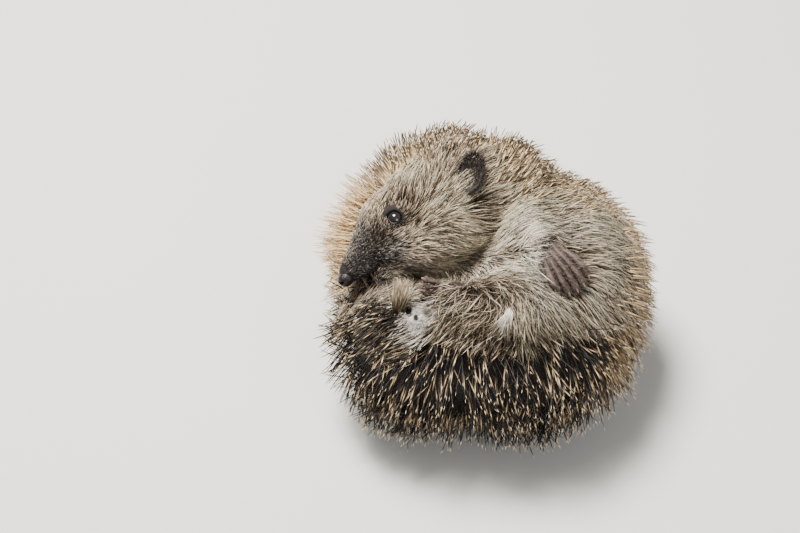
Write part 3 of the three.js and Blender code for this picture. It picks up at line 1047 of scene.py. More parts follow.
# ------------------------------------------------------------------ nose
def nose_shape(P):
    P = np.asarray(P, f32)
    f, d, l = in_head(P)
    al = np.abs(l)
    s = ell(P, hp(50.2, 1.9, 0), (3.1, 2.7, 3.0), HEAD)
    s = smin(s, ell(P, hp(50.3, 1.6, 1.5), (2.6, 2.0, 1.6), HEAD), 0.8)
    s = smin(s, ell(P, hp(50.3, 1.6, -1.5), (2.6, 2.0, 1.6), HEAD), 0.8)
    for sgn in (1, -1):
        hole = cone(P, hp(53.3, 1.6, sgn * 1.35), hp(50.4, 1.3, sgn * 1.2), 0.78, 0.55)
        hole = np.minimum(hole, cone(P, hp(53.0, 1.5, sgn * 1.7), hp(51.0, 0.7, sgn * 3.3), 0.62, 0.44))
        s = smax(s, -hole, 0.35)
    groove = cone(P, hp(53.6, 3.2, 0), hp(53.0, -1.8, 0), 0.28, 0.3)
    s = smax(s, -groove, 0.5)
    return s - 0.05 * noise(P, 0.45, 3)


c = hp(50.2, 1.9, 0)
g = [np.arange(c[k] - 4.6, c[k] + 4.6, 0.2).astype(f32) for k in range(3)]
nv, nq = tidy(*surface(nose_shape, *g, polish=2, limit=0.15))
nose, _ = new_mesh("nose_pad", nv, [nq])
NOSE_MAT, nt, b = material("hedgehog_nose", 0.36, Specular_IOR_Level=0.2)
b.inputs["Coat Weight"].default_value = 0.08
b.inputs["Coat Roughness"].default_value = 0.25
co = node(nt, "ShaderNodeTexCoord")
vo = node(nt, "ShaderNodeTexVoronoi", Scale=2600.0)
nt.links.new(co.outputs["Object"], vo.inputs["Vector"])
ramp = node(nt, "ShaderNodeValToRGB")
ramp.color_ramp.elements[0].color = (0.021, 0.017, 0.017, 1)
ramp.color_ramp.elements[1].color = (0.010, 0.008, 0.008, 1)
nt.links.new(vo.outputs["Distance"], ramp.inputs["Fac"])
nt.links.new(ramp.outputs["Color"], b.inputs["Base Color"])
bp = node(nt, "ShaderNodeBump", Strength=0.6, Distance=0.00015)
bp.invert = True
nt.links.new(vo.outputs["Distance"], bp.inputs["Height"])
nt.links.new(bp.outputs["Normal"], b.inputs["Normal"])
put(nose, NOSE_MAT, "nose", "nose")


# ------------------------------------------------------------------ claws
def claws():
    paths, radii, ups, cols, roots = [], [], [], [], []
    for name in FEET:
        heel, ball_, rh, rb, ahead, side, up, toe = foot_frame(name)
        size = 3.6 if name.startswith("fore") else 3.4
        for root, knuckle, joint, tip in _TOES[name]:
            d0 = unit(tip - joint)
            K = 8
            p = [tip - d0 * 0.6 + up * 0.25]
            d = unit(d0 + up * 0.35)
            for k in range(K - 1):
                p.append(p[-1] + d * size / (K - 1))
                d = unit(d - up * 0.16)
            t = np.linspace(0, 1, K)
            paths.append(p)
            radii.append(0.62 * (1 - t) ** 0.7 + 0.03)
            ups.append(np.cross(side, ahead))
            tone = np.array([mix(srgb(84, 68, 62)[None], srgb(188, 168, 148), [w])[0] for w in t])
            cols.append(tone)
            roots.append(tip)
    return build_strands(
        "claws", np.array(paths), np.array(radii), 1.15, unit(np.array(ups)), 10, np.array(cols), np.array(roots))


put(claws(), CLAW_MAT, "skin")

# ------------------------------------------------------------------ where each kind of coat grows
v32 = verts.astype(f32)
own_v = owners(v32)
hd = own_v["head"] + own_v["jaw"]
sp_v = np.maximum(spine_share(v32) * own_v["trunk"], hood_share(v32) * own_v["head"])
fv, dv, lv = in_head(v32)
hood_root = step(-6, 5, dv - (7.5 + 0.75 * np.maximum(fv - 4, 0))) * (1 - step(6, 22, fv)) * own_v["head"]
hood_root = np.maximum(hood_root, sp_v * (own_v["head"] > 0.5))
coat_v = coat(v32, own_v)
ear_gap = step(5.0, 7.5, dist(v32, EAR_AT)) * step(4.0, 6.0, dist(v32, EAR2_AT))
patch_v = white_share(v32, 0, 2)
patch_near = 1 - step(3.8, 5.8, dist(v32, WHITE[0][0] + np.array([0.5, 0, 0])))
hand = np.array(FEET["fore_left"][1]) - 0.3 * (np.array(FEET["fore_left"][1]) - np.array(FEET["fore_left"][0]))
hand_near = 1 - step(5.5, 8.0, dist(v32, hand))
LOW = np.array(CAD_BOX).reshape(2, 3)[0] * 1000 - SHIFT - np.array([2.8, 2.6, 0.0])
HIGH = np.array(CAD_BOX).reshape(2, 3)[1] * 1000 - SHIFT + np.array([2.8, 2.6, 2.0])


def above_floor(path, r):
    """Bends whatever reaches the floor up on to it."""
    path[..., 2] = np.maximum(path[..., 2], GROUND + 0.12 + r)
    return path


def inside_box(path):
    """Shortens what would stand further out than the coat's tips may."""
    root = path[:, :1]
    q = path - root
    with np.errstate(divide="ignore", invalid="ignore"):
        k = np.where(q > 0, (HIGH - root) / q, np.where(q < 0, (LOW - root) / q, 9.0))
    k = np.clip(k.reshape(len(path), -1).min(1), 0.25, 1.0)
    return root + q * k[:, None, None]


BARE = []  # ends of a capsule, its radius, and the share of the hair that stops at it
_h, _b = np.array(FEET["fore_left"][0]), np.array(FEET["fore_left"][1])
_a = unit(_b - _h)
BARE.append((_b - _a * 2.0 + VT * 2.5, _b + _a * 8.5 + VT * 2.5, 5.6, 1.0))
_h, _b = np.array(FEET["hind_left"][0]), np.array(FEET["hind_left"][1])
BARE.append((_b - unit(_b - _h) * 0.5 + VT * 2.0, _b + unit(_b - _h) * 6.0 + VT * 2.0, 5.0, 1.0))
BARE.append((_h + VT * 2.5, _h + VT * 2.5, 2.6, 0.9))
_s = np.cross(EAR_OUT, EAR_UP)
_s = _s * np.sign(_s @ VR) * 1.2 + EAR_OUT * 3.0 + VT * 0.5
BARE.append((EAR_AT - EAR_UP * 3.6 + _s, EAR_AT + EAR_UP * 3.6 + _s, 2.9, 0.93))
HOCK = 0.45 * _h + 0.55 * _b
BARE.append((WHITE[0][0] + VT * 3, WHITE[1][0] + VT * 3, 3.0, 0.9))
BARE.append((seen(471, 205) + VT * 2, seen(459, 258) + VT * 2, 2.3, 0.7))


def stop_short(path, free):
    """Ends what would cross a bare place at its edge; False where nothing is left."""
    cut = np.ones(len(path))
    K = path.shape[1] - 1
    luck = noise(path[:, 0].astype(f32) * 37.0, 1.0, 3) * 0.5 + 0.5
    for v in np.linspace(1.0, 0.0, 13):
        k = min(int(v * K), K - 1)
        w = v * K - k
        Q = (path[:, k] * (1 - w) + path[:, k + 1] * w).astype(f32)
        hit = np.zeros(len(Q), bool)
        for a, b, r, share in BARE:
            hit |= (cone(Q, a, b, r, r) < 0) & (luck < share)
        cut[hit & ~free] = v
    root = path[:, :1]
    short = root + (path - root) * np.clip(cut, 0.05, 1)[:, None, None]
    return short, cut > 0.3


def covers_head(P):
    """True where a point stands between the viewer and the head."""
    hit = np.zeros(len(P), bool)
    for s in (0.0, 2.5, 5.0, 8.0, 11.0, 14.0):
        Q = (P - VT * s).astype(f32)
        q = np.minimum(np.minimum(head_shape(Q), jaw_shape(Q)), ell(Q, hp(50.2, 1.9, 0), (3.1, 2.7, 3.0), HEAD))
        hit |= q < 0.8
    return hit


# ------------------------------------------------------------------ spines
# Lie of the spines: place in the view (mm right and up of the middle) and the way they lean.
SPINE_LIE = [
    (-48, 20, -1.0, 0.12), (-47, 33, -0.85, 0.5), (-38, 43, -0.35, 0.95), (-30, 48, 0.0, 1.0),
    (-16, 52, 0.3, 1.0), (-3, 51, 0.5, 1.0), (14, 45, 0.7, 0.8), (31, 33, 0.95, 0.5),
    (46, 21, 1.0, 0.25), (55, 8, 1.0, 0.0), (55, -8, 1.0, -0.25), (45, -24, 0.7, -0.6),
    (24, -38, 0.2, -0.9), (11, -31, 0.0, -0.6), (-20, -41, -0.1, -1.0), (-38, -36, -0.5, -0.85),
    (-50, -18, -0.95, -0.35), (-52, -4, -1.0, -0.05), (-30, -24, -0.5, -0.7), (-6, -24, 0.1, -0.7),
]


def spine_lean(P):
    x, u, t = in_view(P)
    a = np.zeros(len(P))
    b = np.zeros(len(P))
    for cx, cu, dx, du in SPINE_LIE:
        w = 1 / (20 + (x - cx) ** 2 + (u - cu) ** 2) ** 1.5
        a += w * dx
        b += w * du
    return unit(a[:, None] * VR + b[:, None] * VU)


def spine_lie(P, n):
    v = spine_lean(P)
    v = v - n * np.einsum("ij,ij->i", v, n)[:, None]
    return unit(v)


def outer_coat(P):
    return np.minimum(trunk_shape(P) - trunk_coat(P), head_shape(P) - head_coat(P))


# The near-black colour is painted shade round the spines' roots and through the lower coat; cream, buff, band and tip
# are the spines' own colours.
GREY = dict(
    cream=srgb(242, 215, 173), buff=srgb(168, 128, 84), band=srgb(26, 20, 17),
    tip=srgb(248, 230, 194), painted_shade=srgb(10, 7, 6),
)
KNOTS = np.array([0, 0.30, 0.45, 0.55, 0.70, 0.90, 0.95, 1.0])
PROFILE = np.array([0.7, 1.0, 1.0, 1.0, 0.92, 0.56, 0.38, 0.05])
near_head = lambda Q: smin(head_shape(Q), jaw_shape(Q), 3)


def spines(weight, count, gap, rim, rng):
    """Spines where weight is high. Those of the rim stand out along the outline of the coat."""
    roots = apart(scatter(verts, tris, weight, count, rng), gap)
    P = roots.astype(f32)
    _, n = gradient(body, P)
    own = owners(P)
    depth = coat(P, own)
    x, u, t = in_view(P)
    N = len(P)
    one = np.ones(N)
    face_on = step(-0.5, 0.1, n @ VT)[:, None]
    cd = unit(spine_lie(P, n) * face_on + caudal(P, n) * (1 - face_on))
    left_edge = step(30, 38, -x) * step(-6, 3, u) * (1 - step(32, 42, u))
    right_edge = step(26, 44, x) * step(-26, -8, u)
    # The lower part of the coat in view: thinner, looser and fewer spines, and their colours darkened with painted
    # shade.
    low = step(-2, 9, -u) * (1 - step(32, 46, x))
    top_rim = step(22, 34, u) * (1 - left_edge)
    LENGTH = (16.5 + 2.5 * left_edge + 1.0 * right_edge) * (0.86 + 0.26 * rng.random(N)) * np.clip(0.42 + depth / 15, 0.5, 1.0)
    rise = np.clip(depth * (0.72 + 0.4 * rng.random(N)) / LENGTH, 0.1, 0.94)
    dirs = unit(n * rise[:, None] + cd * np.sqrt(1 - rise**2)[:, None])
    dirs = unit(dirs + (0.10 + 0.16 * low)[:, None] * rng.normal(size=(N, 3)) + (0.12 + 0.24 * low)[:, None] * jitter(P, 6.0, 4))
    if rim:
        radial = unit(x[:, None] * VR + (u - 6)[:, None] * VU)
        lean = unit(spine_lean(P))
        dirs = unit(n * 0.5 + radial * 0.35 + lean * 0.55 + 0.14 * rng.normal(size=(N, 3)))
        reach = np.zeros(N)
        for k in range(24):
            Q = (roots + dirs * reach[:, None]).astype(f32)
            reach += np.clip(-outer_coat(Q), 0, 2)
        LENGTH = np.clip(reach * (0.72 + 0.44 * rng.random(N)), 4.0, 21.0)
    upw = np.einsum("ij,ij->i", dirs, n)
    lim = np.clip(depth * 1.12 / LENGTH, 0.12, 0.97)
    if not rim:
        dirs = unit(dirs + n * (np.clip(upw, 0.08, lim) - upw)[:, None])
        # spines of the trunk lean away from the head
        for _ in range(4):
            tip = (roots + dirs * LENGTH[:, None]).astype(f32)
            v, g = gradient(near_head, tip)
            push = np.clip(2.5 - v, 0, 4) * (own["head"] < 0.3)
            dirs = unit(dirs + g * push[:, None] * 0.12)
    paths = roots[:, None] + dirs[:, None] * (LENGTH[:, None] * KNOTS)[..., None]
    bow = cd * (0.06 * LENGTH)[:, None] + rng.normal(size=(N, 3)) * 0.35
    paths = paths + bow[:, None] * (KNOTS**2)[None, :, None]
    paths[:, 0] -= n * 0.5
    thick = (0.27 - 0.07 * left_edge - 0.06 * right_edge - 0.075 * low) * (0.8 + 0.4 * rng.random(N))
    thick *= 1 - 0.12 * rim
    radius = thick[:, None] * PROFILE
    paths = above_floor(inside_box(paths), radius)
    paths, whole = stop_short(paths, np.zeros(N, bool))
    mid_pt, tip = paths[:, 4].astype(f32), paths[:, -1].astype(f32)
    keep = whole & (rng.random(N) > 0.22 * low)
    keep &= ~((own["head"] < 0.3) & (u < 14) & (x < 10) & (covers_head(tip) | covers_head(mid_pt)))

    g = {k: np.tile(v, (N, 1)) for k, v in GREY.items()}
    band_w = np.clip(1 - 0.8 * left_edge - 0.2 * right_edge, 0, 1) * (0.85 + 0.15 * rng.random(N))
    # Random tone for each spine, a little darker in the lower part as painted shade.
    shade = (0.78 + 0.34 * rng.random(N) - 0.08 * low)[:, None]
    pale_w = np.maximum(left_edge, 0.35 * right_edge)
    body_c = mix(g["cream"], g["buff"], rng.random(N) * (0.7 - 0.2 * pale_w)) * shade
    # The roots get painted shade, near-black, except on the pale edges where they stay lighter.
    root_c = mix(mix(g["painted_shade"], body_c, 0.12 * one), body_c * 0.4, pale_w * (1 - low))
    band_c = mix(body_c, g["band"], np.maximum(band_w, low))
    tip_c = mix(g["tip"], g["cream"], rng.random(N) * 0.5)
    # Dull spines are the spines' own darker ones; in the lower part their stripe turns to painted shade.
    dull = rng.random(N) < np.maximum(0.5 * low, np.maximum(0.26 * (own["head"] > 0.4), 0.3 * right_edge) * (1 - 0.5 * left_edge))
    stripe = mix(body_c, body_c * 0.9, low)
    stripe[dull] = mix(srgb(58, 42, 30)[None], g["painted_shade"][dull], low[dull])
    body_c[dull] *= 0.4
    first = mix(mix(root_c, body_c, 0.3 * one), g["painted_shade"], low)
    # Along each spine: painted shade at the root, then its own cream, dark band and pale tip; in the lower part the
    # lower half takes painted shade too.
    cols = np.stack([
        root_c * 0.7, first, mix(body_c, mix(g["painted_shade"], stripe, 0.3 * one), low), stripe,
        mix(mix(body_c, band_c, (0.5 + 0.4 * top_rim)), band_c, low), band_c, tip_c, tip_c,
    ], 1)
    return roots[keep], paths[keep], radius[keep], n[keep].astype(float), cols[keep]


rng = np.random.default_rng(11)
xv, uv_, tv = in_view(v32)
_, n_v = gradient(body, v32)
nape_v = step(16, 27, uv_) * step(-12, -2, xv) * own_v["trunk"] * (1 - step(-3, 3, -tv))
bristly = np.maximum(np.maximum(sp_v, hood_root), 0.8 * nape_v)
spiny = step(0.12, 0.55, bristly) * step(1.2, 3.6, coat_v) * ear_gap * (1 - patch_near)
facing = n_v @ VT
rim_v = step(0.3, 0.8, bristly) * step(3.0, 6.0, coat_v) * step(-0.85, -0.5, facing) * (1 - step(0.05, 0.35, facing))
rim_v = rim_v * step(-8, 4, uv_) * step(6.5, 8, dist(v32, EAR_AT))
few = 1.0
sets = [spines(spiny, int(30000 * few), 1.28, 0, rng), spines(rim_v, int(16000 * few), 0.95, 1, rng)]
roots, paths, radius, n, cols = (np.concatenate(c) for c in zip(*sets))
lon = np.degrees(np.arctan2(roots[:, 1] + 2, roots[:, 0] + 2))
sect = np.where((lon > 62) | (lon < -164), 0, np.where(lon > -62, 1, 2))
turn = (lon - 62) % 360
sect[(sect == 0) & (turn < np.median(turn[sect == 0]))] = 3
for k, nm in enumerate(("spines_shoulders", "spines_back", "spines_rump", "spines_nape")):
    m = sect == k
    put(build_strands(nm, paths[m], radius[m], 1.0, n[m], 4, cols[m], roots[m]), SPINE_MAT, "spines")
print("spines", len(roots))

# ------------------------------------------------------------------ fur
FUR_KNOTS = np.array([0.0, 0.3, 0.66, 1.0])
BELLY = seen(470, 312)


def fur(weight, count, length, width, seed, lift=1.0, mess=0.12, clump=0.15, curl=0.05, pull=0.2, cell=2.4, free=0.5, over=False):
    """Locks over the skin where weight is high. Their tips draw together in small tufts."""
    rg = np.random.default_rng(seed)
    roots = scatter(verts, tris, weight, count, rg)
    P = roots.astype(f32)
    _, n = gradient(body, P)
    own = owners(P)
    depth = coat(P, own)
    L = length(P, own, depth) * (0.62 + 0.62 * rg.random(count))
    layer = 0.15 + 0.85 * rg.random(count)
    top = np.minimum(depth * 1.0, 0.42 * L) * layer * lift
    path = np.empty((count, 4, 3))
    path[:, 0] = roots - n * 0.35
    cur = P
    wild = 1 + 1.2 * (1 - step(8, 22, dist(P, BELLY))) * (own["head"] < 0.5)
    loose = (own["thigh"] + own["arm"])[:, None]
    stray = jitter(P, 2.6, 7) * clump * (1 - 0.5 * loose) + rg.normal(size=(count, 3)) * (mess * wild)[:, None] * (1 + 0.5 * loose)
    stray = stray + jitter(P, 9.0, 8) * 0.14
    twist = rg.normal(size=(count, 3)) * curl
    nn = n
    for k in range(1, 4):
        v = lie(cur, nn, own if k == 1 else owners(cur)) + stray + twist * k
        v = unit(v - nn * np.einsum("ij,ij->i", v, nn)[:, None])
        run = L * (FUR_KNOTS[k] - FUR_KNOTS[k - 1])
        h = top * (0.0, 0.6, 0.92, 1.0)[k] + 0.12
        cur = (cur + v * run[:, None]).astype(f32)
        s, nn = gradient(body, cur)
        cur = (cur + nn * (h - s)[:, None]).astype(f32)
        path[:, k] = cur
    cells = np.floor((roots + 0.9 * jitter(P, 1.7, 12)) / cell).astype(int)
    _, which = np.unique(cells, axis=0, return_inverse=True)
    which = which.ravel()
    num = np.bincount(which)
    for k, amount in ((2, 0.45 * pull), (3, pull)):
        mean = np.stack([np.bincount(which, path[:, k, c]) / num for c in range(3)], 1)[which]
        far = np.linalg.norm(mean - path[:, k], axis=1)
        path[:, k] += (mean - path[:, k]) * (amount * (1 - step(4, 8, far)) * (1 - 0.6 * (own["thigh"] + own["arm"])))[:, None]
    W = width(P, own) * np.exp(0.42 * rg.normal(size=count)) * 0.95
    radius = np.minimum(W, 0.34)[:, None] * np.array([0.8, 1.0, 0.78, 0.05])
    path, whole = stop_short(path, ((own["feet"] > free) & (L < 3)) | over)
    path = above_floor(path, radius)
    return roots[whole], path[whole], radius[whole], n[whole].astype(float), rg


# Places of painted shade: the crease behind the cheek ruff and the recess under the chin.
CREASE_SHADE_LINE = seen(471, 205), seen(459, 258)
RECESS_SHADE_AT = seen(452, 284)


def coat_tones(P, own, rg):
    """Root, middle and tip colour of each lock."""
    N = len(P)
    f, d, l = in_head(P)
    x, u, t = in_view(P)
    hw = own["head"] + own["jaw"]
    rows = lambda *c: np.tile(srgb(*c), (N, 1))
    # Dark roots: the hair's own darker base, deepened as painted shade down among the locks.
    root, mid, tip = rows(22, 16, 12), rows(126, 92, 66), rows(253, 235, 205)
    flank = own["trunk"] + own["thigh"] + own["arm"]
    # The flank's own paler fur, lightened further as a painted highlight where the top of the flank faces the light.
    pale = flank * np.exp(-(((x - 5) / 21) ** 2) - ((u - 14) / 13) ** 2)
    tip = mix(tip, srgb(254, 247, 230), np.clip(0.35 * flank + 0.6 * pale, 0, 1))
    mid = mix(mid, srgb(178, 164, 144), pale)
    nape = flank * step(14, 30, u)
    mid = mix(mid, srgb(58, 40, 26), nape * 0.85)
    tip = mix(tip, srgb(250, 220, 170), nape * 0.85)
    low = np.maximum(step(2, 16, -u), 1 - step(8, 20, dist(P, BELLY))) * (1 - hw)
    mid = mix(mid, srgb(66, 46, 33), low * 0.85)
    tip = mix(tip, srgb(206, 182, 150), low * 0.75)
    edge = flank * step(26, 44, x) * (1 - step(22, 36, u))
    mid, tip = mix(mid, srgb(70, 49, 34), edge * 0.8), mix(tip, srgb(240, 212, 172), edge * 0.6)
    beard = hw * step(0, 7, -d) * (1 - step(32, 39, f))
    mid = mix(mid, srgb(150, 130, 108), beard * 0.9)
    root = mix(root, srgb(88, 74, 60), np.maximum(0.8 * beard, 0.8 * pale))
    beside = (1 - step(10, 22, dist(P, seen(384, 318)))) * (1 - hw)
    mid, tip = mix(mid, srgb(30, 21, 16), beside * 0.85), mix(tip, srgb(96, 76, 58), beside * 0.6)
    snout = hw * muzzle(f, d)
    mid = mix(mid, srgb(48, 44, 44), snout)
    tip = mix(tip, srgb(100, 93, 89), snout)
    speck = snout * (rg.random(N) < 0.24)
    tip = mix(tip, srgb(206, 200, 190), speck * 0.85)
    pad = np.exp(-((f - 33.5) / 3.5) ** 2 - ((d + 0.5) / 2.6) ** 2) * hw
    tip = mix(tip, srgb(214, 208, 198), pad * 0.8)
    mid = mix(mid, srgb(130, 122, 114), pad * 0.8)
    chin = own["jaw"] * (1 - pad)
    tip = mix(tip, srgb(164, 150, 130), chin * 0.9)
    mid = mix(mid, srgb(92, 80, 68), chin * 0.8)
    ridge = snout * ridge_share(f, d)
    tip = mix(tip, srgb(198, 188, 172), ridge * 0.85)
    mid = mix(mid, srgb(112, 102, 94), ridge * 0.7)
    mask = hw * step(17, 24, f) * (1 - step(36, 42, f)) * np.exp(-(((d - 4.5) / 3.2) ** 2)) * step(0, 6, l)
    tip = mix(tip, srgb(110, 94, 80), mask * 0.75)
    mid = mix(mid, srgb(64, 54, 47), mask * 0.8)
    # A share of the locks turns near-black: partly the coat's own dark hairs, partly painted shade for the dark gaps
    # between pale locks.
    dark_hair_and_shade = rg.random(N) < 0.37 + 0.17 * nape - 0.3 * pale + 0.2 * low - 0.16 * beard + 0.14 * edge
    tip[dark_hair_and_shade] *= 0.13
    mid[dark_hair_and_shade] *= 0.22
    # Painted shade: locks darkened in the crease behind the ruff, the recess under the chin and by the hind toes.
    crease_shade = 1 - step(1.0, 4.5, cone(P, CREASE_SHADE_LINE[0], CREASE_SHADE_LINE[1], 0.5, 0.5))
    crease_shade = np.maximum(crease_shade, 0.8 * (1 - step(6, 13, dist(P, RECESS_SHADE_AT))) * (1 - hw))
    crease_shade = np.maximum(crease_shade, 1.1 * (1 - step(3.5, 10, dist(P, seen(424, 291)))) * (1 - hw) * (own["thigh"] < 0.5))
    mid, tip = mid * (1 - 0.75 * np.minimum(crease_shade, 1))[:, None], tip * (1 - 0.45 * crease_shade)[:, None]
    white = white_share(P) * (1 - hw)
    mid, tip = mix(mid, srgb(200, 192, 180), white), mix(tip, srgb(240, 236, 226), white)
    root = mix(root, srgb(120, 110, 100), white)
    k = (0.66 + 0.62 * rg.random(N) + 0.16 * noise(P, 4.0, 5))[:, None]
    return root, mid * k, np.minimum(tip * k, 0.97)


def lay(piece_names, made, slot, tones=coat_tones, flat=0.6, sides=3):
    """Splits locks into pieces by place, so that each stays small."""
    roots, path, radius, n, rg = made
    P = roots.astype(f32)
    own = owners(P)
    r, m, tp = tones(P, own, rg)
    one = np.ones(len(P))
    cols = np.stack([r, mix(r, m, 0.35 * one), mix(m, tp, 0.55 * one), tp], 1)
    order = np.argsort(roots @ np.array([0.8, -0.6, 0.1]))
    for nm, part in zip(piece_names, np.array_split(order, len(piece_names))):
        put(build_strands(nm, path[part], radius[part], flat, n[part], sides, cols[part], roots[part]), FUR_MAT, slot)


feet_v = own_v["feet"]
ears_v = own_v["ears"]
tail_v = own_v["tail"]
soft = 1 - step(0.55, 1.0, np.maximum(sp_v, step(-2, 12, -uv_) * step(0.1, 0.5, sp_v)))
eye_clear = step(3.0, 3.5, dist(v32, EYE_L)) * step(3.0, 3.5, dist(v32, EYE_FAR))
nose_clear = 1 - step(47.8, 49.2, fv) * hd
hock_v = 1 - step(2.5, 5.0, dist(v32, HOCK))
round_patch = 0.55 * (1 - step(7, 14, dist(v32, seen(402, 324)))) * (1 - patch_near)
under_head = (1 - step(4, 10, near_head(v32))) * own_v["trunk"] * (1 - step(8, 14, uv_))
body_w = np.maximum(np.maximum(soft, 0.9 * round_patch), 0.75 * under_head) * (1 - hd) * (1 - feet_v * (1 - hock_v)) * (1 - ears_v) * (1 - tail_v) * (1 - 0.96 * patch_near) * (1 - 0.9 * hand_near) * (1 - 0.55 * nape_v)
cheek_w = (1 - 0.8 * step(0.3, 0.85, np.maximum(sp_v, hood_root))) * hd * (1 - muzzle(fv, dv)) * (1 - ears_v) * eye_clear
cheek_w = cheek_w * (0.4 + 0.6 * step(4, 9, dist(v32, EYE_L)))
snout_w = soft * hd * (0.15 + 0.85 * muzzle(fv, dv)) * step(16, 24, fv) * eye_clear * nose_clear
thin_w = 0.3 * feet_v * (1 - tail_v) * (1 - ears_v)
pits_clear = np.minimum.reduce([step(r + 0.8, r + 1.7, dist(v32, c)) for c, r in PITS])
felt_w = np.maximum(patch_near, white_share(v32, 0, 2)) * (1 - hd) * (1 - feet_v) * pits_clear


def body_len(P, own, depth):
    L = 17 * own["trunk"] + 13 * own["thigh"] + 7 * own["arm"] + 4 * own["arm_right"] + 6 * own["feet"] + 7 * own["head"] + 5 * own["jaw"]
    x, u, t = in_view(P)
    L = L * (1 - 0.5 * step(4, 16, -u)) * (1 - 0.3 * step(22, 34, u))
    return np.maximum(L, 2.0) * (0.4 + 0.6 * step(0.8, 4.5, depth))


def face_len(P, own, depth):
    f, d, l = in_head(P)
    L = 1.3 + 10.5 * (1 - step(8, 42, f - 0.6 * np.maximum(d - 6, 0)))
    L = L + 3.0 * step(1, 7, -d) * (1 - step(38, 42, f))
    near = np.minimum(dist(P, EYE_L), dist(P, EYE_FAR))
    return L * (0.3 + 0.7 * step(3.4, 8, near))


wide = lambda w: (lambda P, own: np.full(len(P), w))
lay(["fur_body_a", "fur_body_b", "fur_body_c"], fur(body_w, 28000, body_len, lambda P, own: 0.15 - 0.03 * own["thigh"] - 0.02 * own["arm"], 21, mess=0.10, clump=0.10, pull=0.14), "fur")
lay(["fur_cheek_a", "fur_cheek_b"], fur(cheek_w, 19000, face_len, wide(0.102), 22, mess=0.09, clump=0.09, pull=0.1), "fur")
lay(["fur_snout"], fur(snout_w, 8800, face_len, wide(0.075), 23, pull=0.1), "fur")


def thin_tones(P, own, rg):
    rows = lambda *c: np.tile(srgb(*c), (len(P), 1))
    w = own["feet"]
    return (
        mix(rows(120, 110, 104), rows(70, 59, 55), w), mix(rows(190, 184, 176), rows(98, 85, 78), w),
        mix(rows(232, 228, 220), rows(150, 136, 122), w),
    )


# the ruff in front of the ear
ruff_v = np.exp(-((cone(v32, seen(440, 158), seen(444, 226), 0.1, 0.1) / 3.6) ** 2)) * hd * (1 - ears_v)
lay(["fur_ruff"], fur(ruff_v, 1500, lambda P, own, depth: 9.0 + 0 * depth, wide(0.105), 25, lift=1.7, mess=0.14), "fur")
lay(["fur_feet"], fur(thin_w, 2400, lambda P, own, depth: 1.8 + 0 * depth, wide(0.055), 24, pull=0, mess=0.4, free=0.3), "fur", thin_tones)


def felt_tones(P, own, rg):
    rows = lambda *c: np.tile(srgb(*c), (len(P), 1))
    k = (0.6 + 0.45 * rg.random(len(P)) + 0.12 * noise(P, 1.6, 15))[:, None]
    return rows(96, 88, 82), rows(178, 170, 162) * k, rows(236, 231, 224) * k


lay(["fur_felt"], fur(felt_w, 1300, lambda P, own, depth: 1.3 + 0 * depth, wide(0.065), 27, pull=0.3, mess=0.5, clump=0.3, cell=1.6, lift=1.4, over=True), "fur", felt_tones)


guard_w = (body_w + 0.5 * cheek_w * (1 - step(14, 24, fv))) * step(5, 11, dist(v32, seen(424, 291))) * (1 - 0.7 * step(4, 14, -uv_))


def guard_tones(P, own, rg):
    root, mid, tip = coat_tones(P, own, rg)
    k = (0.75 + 0.25 * rg.random(len(P)))[:, None]
    return root, mix(mid, srgb(190, 172, 144), 0.6 * np.ones(len(P))), np.tile(srgb(244, 234, 210), (len(P), 1)) * k


lay(["fur_guard"], fur(guard_w, 4200, lambda P, own, depth: body_len(P, own, depth) * 1.05, wide(0.115), 26, lift=1.2, mess=0.15, pull=0), "fur", guard_tones)


def tuft(at, radius, aim, count, length, width, seed):
    """A pointed tuft of white hair: roots round a place on the skin, tips drawn towards aim."""
    rg = np.random.default_rng(seed)
    near = dist(v32, at) < radius * 1.8
    roots = scatter(verts, tris, np.exp(-((dist(v32, at) / radius) ** 2)) * near, count, rg)
    P = roots.astype(f32)
    _, n = gradient(body, P)
    to = aim - roots
    d = unit(unit(to) + 0.06 * rg.normal(size=(count, 3)) + 0.05 * n)
    L = np.minimum(np.linalg.norm(to, axis=1), length) * (0.55 + 0.5 * rg.random(count) ** 0.6)
    path = roots[:, None] + d[:, None] * (L[:, None] * FUR_KNOTS)[..., None]
    path = path + n[:, None] * (np.array([-0.4, 1.6, 2.4, 2.0]))[None, :, None]
    rad = (width * (0.7 + 0.6 * rg.random(count)))[:, None] * np.array([0.8, 1.0, 0.78, 0.05])
    return roots, path, rad, n.astype(float), rg


def white_tones(P, own, rg):
    rows = lambda *c: np.tile(srgb(*c), (len(P), 1))
    k = (0.75 + 0.3 * rg.random(len(P)))[:, None]
    # Painted shade: a random fifth of the hairs darkened for the shade inside the tuft.
    deep_shade = rg.random(len(P)) < 0.2
    k[deep_shade] *= 0.2
    return rows(60, 48, 38), rows(168, 150, 128) * k, rows(246, 240, 228) * k


lay(["fur_tuft"], tuft(seen(501, 336), 3.4, seen(510, 305) + VT * 3.0, 190, 15.0, 0.12, 35), "fur", white_tones)


# ears: a fringe round the rim and hair over the dish
def ear_tones(P, own, rg):
    rows = lambda *c: np.tile(srgb(*c), (len(P), 1))
    k = (0.7 + 0.6 * rg.random(len(P)))[:, None]
    return rows(24, 21, 20), rows(42, 37, 35) * k, rows(82, 73, 66) * k


